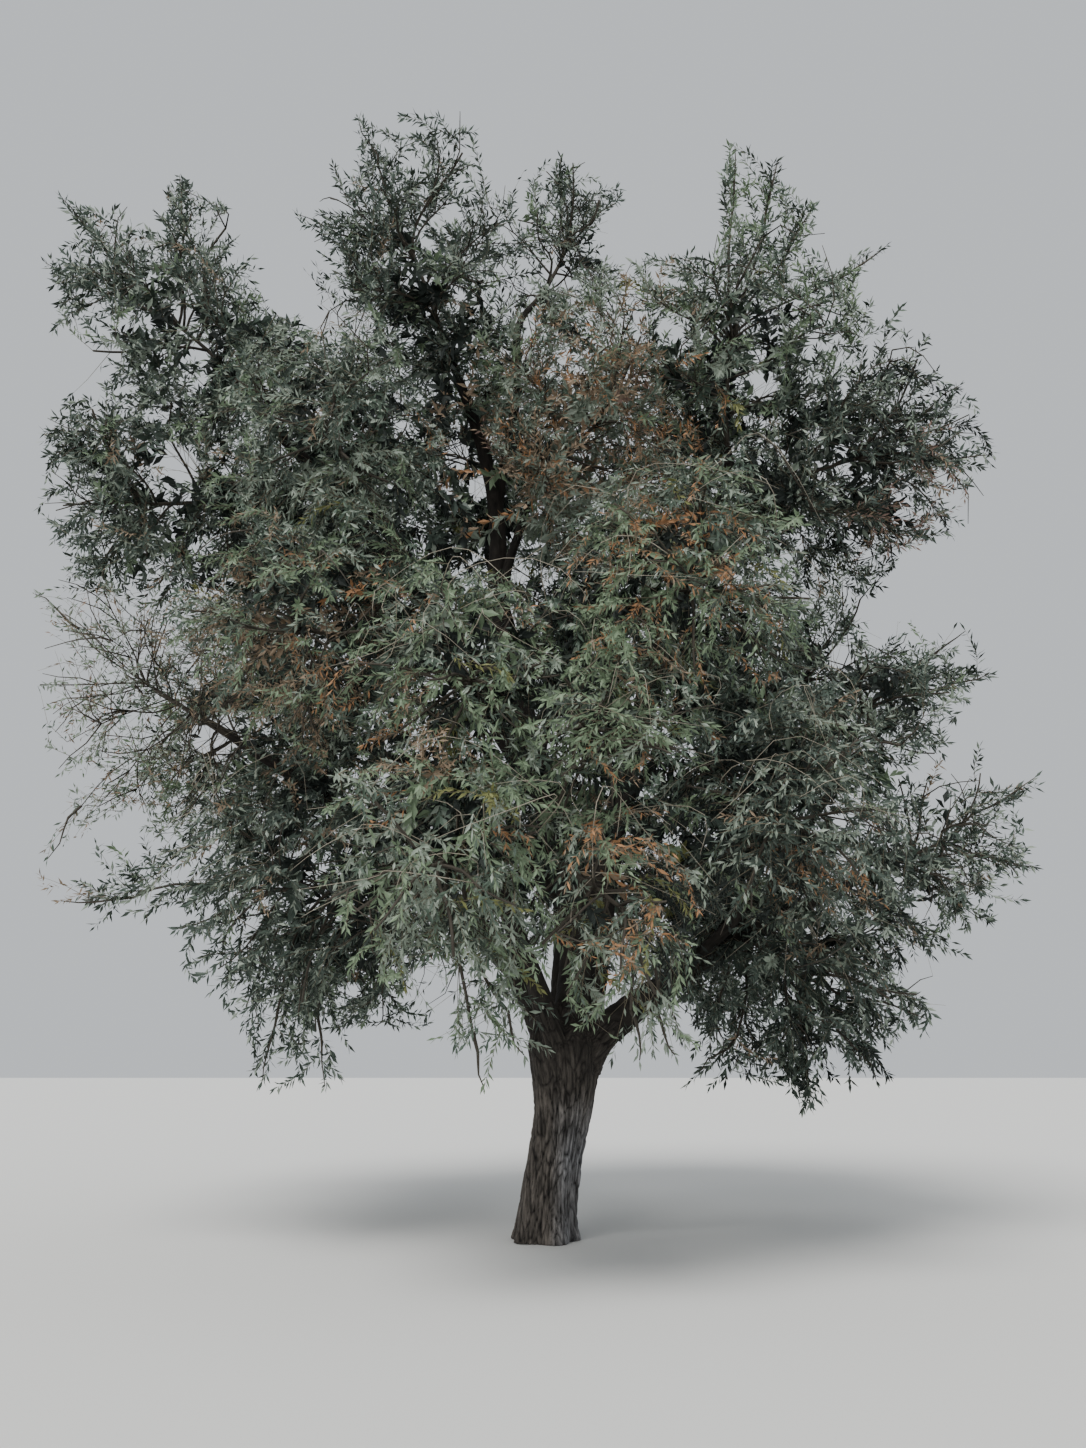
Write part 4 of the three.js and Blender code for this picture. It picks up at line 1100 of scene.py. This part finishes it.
def trunk_tube():
    """The trunk's plain tube, with its flutes and root flare."""
    height, at_x, at_y, radius = TRUNK_STATIONS.T
    z = np.concatenate([[0.0], np.linspace(TRUNK_MESH["first"], height[-1], TRUNK_MESH["stations"])])
    angles = np.arange(TRUNK_MESH["sides"]) * 2 * math.pi / TRUNK_MESH["sides"]
    spread = FLUTES["depth"] + ROOT_FLARE["depth"] * np.exp(-z / ROOT_FLARE["height"])
    rib = np.cos(FLUTES["count"] * angles[None] + FLUTES["phase"])
    r = np.interp(z, height, radius)[:, None] * (1 + spread[:, None] * rib)
    x = np.interp(z, height, at_x)[:, None] + np.cos(angles) * r
    y = np.interp(z, height, at_y)[:, None] - np.sin(angles) * r
    vertices = np.stack([x, y, np.broadcast_to(z[:, None], x.shape)], axis=-1)
    index = np.arange(x.size).reshape(x.shape)
    turned = np.roll(index, -1, axis=1)
    walls = np.stack([index[:-1], index[1:], turned[1:], turned[:-1]], axis=-1).reshape(-1, 4)
    return vertices.reshape(-1, 3), [(walls, 0), (np.stack([index[0], index[-1, ::-1]]), 0)]


def keep_bark(piece, depth, grain, pale):
    """Keeps what the bark material reads at the vertices: their depth, place in the grain and paleness."""
    layers = piece.data.attributes
    layers.new("furrow", "FLOAT", "POINT").data.foreach_set("value", depth.astype(np.float32))
    layers.new("grain", "FLOAT_VECTOR", "POINT").data.foreach_set("vector", grain.astype(np.float32).ravel())
    layers.new("pale", "FLOAT", "POINT").data.foreach_set("value", pale.astype(np.float32))


def vectors_of(items, key):
    """The vectors that a mesh has for its vertices."""
    values = np.empty(len(items) * 3)
    items.foreach_get(key, values)
    return values.reshape(-1, 3)


def melt_trunk(limbs, grown, material):
    """The trunk and the feet of its boughs, melted into one body."""
    vertices, face_sets = trunk_tube()
    all_vertices, all_sets, count = [vertices], list(face_sets), len(vertices)
    for mass in grown:
        limb = limbs[mass.name]
        last = min(1.0, STUB / limb.length)
        vertices, sets, _, _ = limb_tube(limb, 0.0, last, STUB_MESH["step"], STUB_MESH["sides"], relief=False)
        all_sets += [(faces + count, 0) for faces, _ in sets]
        all_vertices.append(vertices)
        count += len(vertices)
    piece = make_mesh("bark_trunk", np.concatenate(all_vertices), all_sets, [material])
    remesh = piece.modifiers.new("one body", "REMESH")
    remesh.mode = "VOXEL"
    remesh.voxel_size = FURROW["voxel"]
    smooth = piece.modifiers.new("soft junctions", "SMOOTH")
    smooth.factor = 0.5
    smooth.iterations = 10
    bpy.context.view_layer.update()
    melted = bpy.data.meshes.new_from_object(piece.evaluated_get(bpy.context.evaluated_depsgraph_get()))
    piece.modifiers.clear()
    piece.data = melted
    melted.materials.clear()
    melted.materials.append(material)
    return piece


def make_trunk(limbs, materials):
    """The trunk and the feet of its boughs in one piece, with furrows."""
    grown = [mass for mass in MASSES if mass.start is not None]
    piece = melt_trunk(limbs, grown, materials["trunk"])
    points = vectors_of(piece.data.vertices, "co")
    normals = vectors_of(piece.data.vertex_normals, "vector")
    grains = [trunk_grain(points), *(limb_grain(limbs[mass.name], points) for mass in grown)]
    weights = np.exp(-np.array([outside for _, outside in grains]) / BLEND)
    weights /= weights.sum(axis=0)
    depth = sum(weight * bark_relief(grain) for weight, (grain, _) in zip(weights, grains))
    own = np.argmax(weights, axis=0)
    grain = np.array([grain for grain, _ in grains])[own, np.arange(len(points))]
    broad = noise(grain / SWELL["size"], BARK_SEEDS["broad"]) - 0.5
    # Pale bark and painted light: blotches low on the trunk that grow paler towards its right side.
    right = (points[:, 0] - PALE_AND_LIT_RIGHT["x"]) / TRUNK_GIRTH
    right = np.clip(PALE_AND_LIT_RIGHT["share"] + PALE_AND_LIT_RIGHT["rise"] * right, 0, 1)
    low = np.clip((PALE_LOW["top"] - points[:, 2]) / PALE_LOW["fade"], 0, 1)
    blotches = noise(grain / PALE_BLOTCH["size"], BARK_SEEDS["pale"])
    pale = right * low * (PALE_BLOTCH["least"] + PALE_BLOTCH["more"] * blotches)
    points += normals * (SWELL["depth"] * broad - FURROW["depth"] * depth + LIFT)[:, None]
    points[:, 2] = np.maximum(points[:, 2], 0)
    piece.data.vertices.foreach_set("co", points.ravel())
    piece.data.update()
    piece.data.shade_smooth()
    keep_bark(piece, depth, grain, pale)
    stand_for(piece, "trunk")


def make_boughs(limbs, materials):
    """The boughs, from where the trunk's piece ends or from the bough that carries them."""
    for mass in MASSES:
        limb = limbs[mass.name]
        first = (STUB - STUB_LAP) / limb.length if mass.start is not None else 0.0
        girth = 2 * math.pi * float(limb.radius_at(np.array([first]))[0])
        sides = int(np.clip(girth / BOUGH_MESH["side"], BOUGH_MESH["fewest"], BOUGH_MESH["most"]))
        vertices, sets, depth, grain = limb_tube(limb, first, 1.0, BOUGH_MESH["step"], sides, relief=True)
        piece = make_mesh("bark_" + mass.name, vertices, sets, [materials["bough"]])
        keep_bark(piece, depth, grain, np.zeros(len(depth)))
        stand_for(piece, "bough_" + mass.name)


# Materials


def new_group(name, inputs, outputs):
    """A shader node group and the nodes at its two ends. A socket with no value gets one in the material."""
    group = bpy.data.node_groups.new(name, "ShaderNodeTree")
    for label, kind, value in inputs:
        made = group.interface.new_socket(label, in_out="INPUT", socket_type=kind)
        if value is not None:
            made.default_value = value
    for label, kind in outputs:
        group.interface.new_socket(label, in_out="OUTPUT", socket_type=kind)
    return group, group.nodes.new("NodeGroupInput"), group.nodes.new("NodeGroupOutput")


def bark_group():
    """Bark from its furrows: grey plates, dark fissures, pale bark that is partly painted light, and painted
    shade higher up under the crown.
    """
    group, given, out = new_group(
        "Olive bark",
        [
            ("Furrow", "NodeSocketFloat", None),
            ("Pale", "NodeSocketFloat", None),
            ("Grain", "NodeSocketVector", None),
            ("Plate", "NodeSocketColor", None),
            ("Fissure", "NodeSocketColor", None),
            ("Pale Plate", "NodeSocketColor", None),
            ("Shade", "NodeSocketColor", (0.02, 0.017, 0.014, 1)),
            ("Shade From", "NodeSocketFloat", 0.95),
            ("Shade To", "NodeSocketFloat", 1.45),
            ("Grain Scale", "NodeSocketFloat", None),
        ],
        [("Color", "NodeSocketColor"), ("Roughness", "NodeSocketFloat"), ("Height", "NodeSocketFloat")],
    )
    nodes, links = group.nodes, group.links

    def mixed(factor, first, second, blend="MIX"):
        mix = nodes.new("ShaderNodeMix")
        mix.data_type = "RGBA"
        mix.blend_type = blend
        if factor is None:
            mix.inputs["Factor"].default_value = 1.0
        else:
            links.new(factor, mix.inputs["Factor"])
        links.new(first, mix.inputs[MIX_COLORS["first"]])
        links.new(second, mix.inputs[MIX_COLORS["second"]])
        return mix.outputs[MIX_COLORS["result"]]

    def ranged(value, low, high, to_low, to_high):
        reach = nodes.new("ShaderNodeMapRange")
        for name, bound in (("From Min", low), ("From Max", high), ("To Min", to_low), ("To Max", to_high)):
            if isinstance(bound, (int, float)):
                reach.inputs[name].default_value = bound
            else:
                links.new(bound, reach.inputs[name])
        links.new(value, reach.inputs["Value"])
        return reach.outputs["Result"]

    # Fine strands run along the grain, and broad blotches lie across it.
    stretch = nodes.new("ShaderNodeMapping")
    stretch.inputs["Scale"].default_value = (1, 1, 0.14)
    links.new(given.outputs["Grain"], stretch.inputs["Vector"])
    strands = nodes.new("ShaderNodeTexNoise")
    strands.inputs["Detail"].default_value = 7
    strands.inputs["Roughness"].default_value = 0.7
    strands.inputs["Distortion"].default_value = 0.4
    links.new(stretch.outputs["Vector"], strands.inputs["Vector"])
    links.new(given.outputs["Grain Scale"], strands.inputs["Scale"])
    blotches = nodes.new("ShaderNodeTexNoise")
    blotches.inputs["Scale"].default_value = 6.0
    blotches.inputs["Detail"].default_value = 5
    links.new(given.outputs["Grain"], blotches.inputs["Vector"])

    plate = mixed(given.outputs["Pale"], given.outputs["Plate"], given.outputs["Pale Plate"])
    plate = mixed(None, plate, ranged(strands.outputs["Fac"], *STRAND_TONES), "MULTIPLY")
    plate = mixed(None, plate, ranged(blotches.outputs["Fac"], *BLOTCH_TONES), "MULTIPLY")
    # Painted shade: the bark darkens with height from Shade From to Shade To, as it lies under the crown.
    place = nodes.new("ShaderNodeTexCoord")
    split = nodes.new("ShaderNodeSeparateXYZ")
    links.new(place.outputs["Object"], split.inputs["Vector"])
    shade = ranged(split.outputs["Z"], given.outputs["Shade From"], given.outputs["Shade To"], 0.0, PAINTED_SHADE)
    plate = mixed(shade, plate, given.outputs["Shade"])
    links.new(mixed(given.outputs["Furrow"], plate, given.outputs["Fissure"]), out.inputs["Color"])
    links.new(ranged(strands.outputs["Fac"], *STRAND_ROUGHNESS), out.inputs["Roughness"])
    links.new(strands.outputs["Fac"], out.inputs["Height"])
    return group


def bark_material(name, group, plate, fissure, pale, grain_scale):
    """Bark in three colours, as they look on a screen, with strands of one fineness."""
    material = bpy.data.materials.new(name)
    material.use_nodes = True
    nodes, links = material.node_tree.nodes, material.node_tree.links
    shader = nodes["Principled BSDF"]
    shader.inputs["Specular IOR Level"].default_value = 0.3
    bark = nodes.new("ShaderNodeGroup")
    bark.node_tree = group
    for label, color in (("Plate", plate), ("Fissure", fissure), ("Pale Plate", pale)):
        bark.inputs[label].default_value = (*linear(color), 1)
    bark.inputs["Grain Scale"].default_value = grain_scale
    for layer, output in (("furrow", "Fac"), ("pale", "Fac"), ("grain", "Vector")):
        kept = nodes.new("ShaderNodeAttribute")
        kept.attribute_name = layer
        links.new(kept.outputs[output], bark.inputs[layer.capitalize()])
    links.new(bark.outputs["Color"], shader.inputs["Base Color"])
    links.new(bark.outputs["Roughness"], shader.inputs["Roughness"])
    bump = nodes.new("ShaderNodeBump")
    bump.inputs["Strength"].default_value = 0.9
    bump.inputs["Distance"].default_value = 0.010
    links.new(bark.outputs["Height"], bump.inputs["Height"])
    links.new(bump.outputs["Normal"], shader.inputs["Normal"])
    return material


def linear(color):
    """A colour as it looks on a screen, in the linear values that shaders use."""
    return tuple(c / 12.92 if c <= 0.04045 else ((c + 0.055) / 1.055) ** 2.4 for c in color)


def plain_material(name, color, roughness):
    """A material of one colour, as it looks on a screen."""
    material = bpy.data.materials.new(name)
    material.use_nodes = True
    shader = material.node_tree.nodes["Principled BSDF"]
    shader.inputs["Base Color"].default_value = (*linear(color), 1)
    shader.inputs["Roughness"].default_value = roughness
    shader.inputs["Specular IOR Level"].default_value = 0.35
    return material


def leaf_material(name):
    """The material of the leaves of one tint."""
    roughness = LEAF_ROUGHNESS["waxy" if name in WAXY_TINTS else "dull"]
    return plain_material("leaf " + name.replace("_", " "), TINTS[name], roughness)


def make_materials():
    """The materials, by what they are for. Lists are in the order of the numbers that the faces have."""
    group = bark_group()
    trunk_colors = ((0.385, 0.36, 0.335), (0.07, 0.06, 0.055), (0.57, 0.57, 0.58))
    bough_colors = ((0.27, 0.25, 0.23), (0.09, 0.08, 0.07), (0.34, 0.335, 0.31))
    return {
        "trunk": bark_material("trunk bark", group, *trunk_colors, 60.0),
        "bough": bark_material("bough bark", group, *bough_colors, 80.0),
        "leaves": [leaf_material(name) for name in TINTS],
        "twigs": [
            plain_material("twig grey", (0.28, 0.26, 0.23), 0.85),
            plain_material("shoot pale brown", (0.46, 0.43, 0.36), 0.75),
            plain_material("arching shoot pale grey", (0.62, 0.59, 0.53), 0.75),
        ],
    }


# Studio


def make_camera():
    """The camera, at eye level and turned up to the crown."""
    camera = bpy.data.cameras.new("camera")
    camera.sensor_width = SENSOR
    camera.lens = LENS
    camera.clip_end = 500
    holder = bpy.data.objects.new("camera", camera)
    holder.location = EYE
    holder.rotation_euler = (math.pi / 2 + LOOK_UP, 0, 0)
    bpy.context.scene.collection.objects.link(holder)
    bpy.context.scene.camera = holder


def make_studio():
    """A pale floor in even pale light from all round, and one broad soft light from the upper left."""
    half = FLOOR_SIDE / 2
    corners = [(-half, -half, 0), (half, -half, 0), (half, half, 0), (-half, half, 0)]
    floor = make_mesh("floor", np.array(corners), [(np.array([[0, 1, 2, 3]]), 0)],
                      [plain_material("pale floor", (0.86, 0.86, 0.85), 0.9)])
    world = bpy.data.worlds.new("studio")
    world.use_nodes = True
    back = world.node_tree.nodes["Background"]
    back.inputs["Color"].default_value = (0.86, 0.90, 0.94, 1)
    back.inputs["Strength"].default_value = 0.75
    bpy.context.scene.world = world
    sun = bpy.data.lights.new("broad light", "SUN")
    sun.energy = 3.2
    sun.angle = math.radians(30)
    sun.color = (1.0, 0.98, 0.95)
    holder = bpy.data.objects.new("broad light", sun)
    holder.rotation_euler = (math.radians(34), math.radians(-16), 0)
    bpy.context.scene.collection.objects.link(holder)


def main():
    """The whole scene, with each bough made after the one that carries it."""
    make_camera()
    materials = make_materials()
    limbs = {}
    for mass in MASSES:
        limbs[mass.name] = make_limb(mass, limbs)
    make_trunk(limbs, materials)
    make_boughs(limbs, materials)
    for mass in MASSES:
        grow_mass(mass, limbs, materials)
    make_studio()


main()
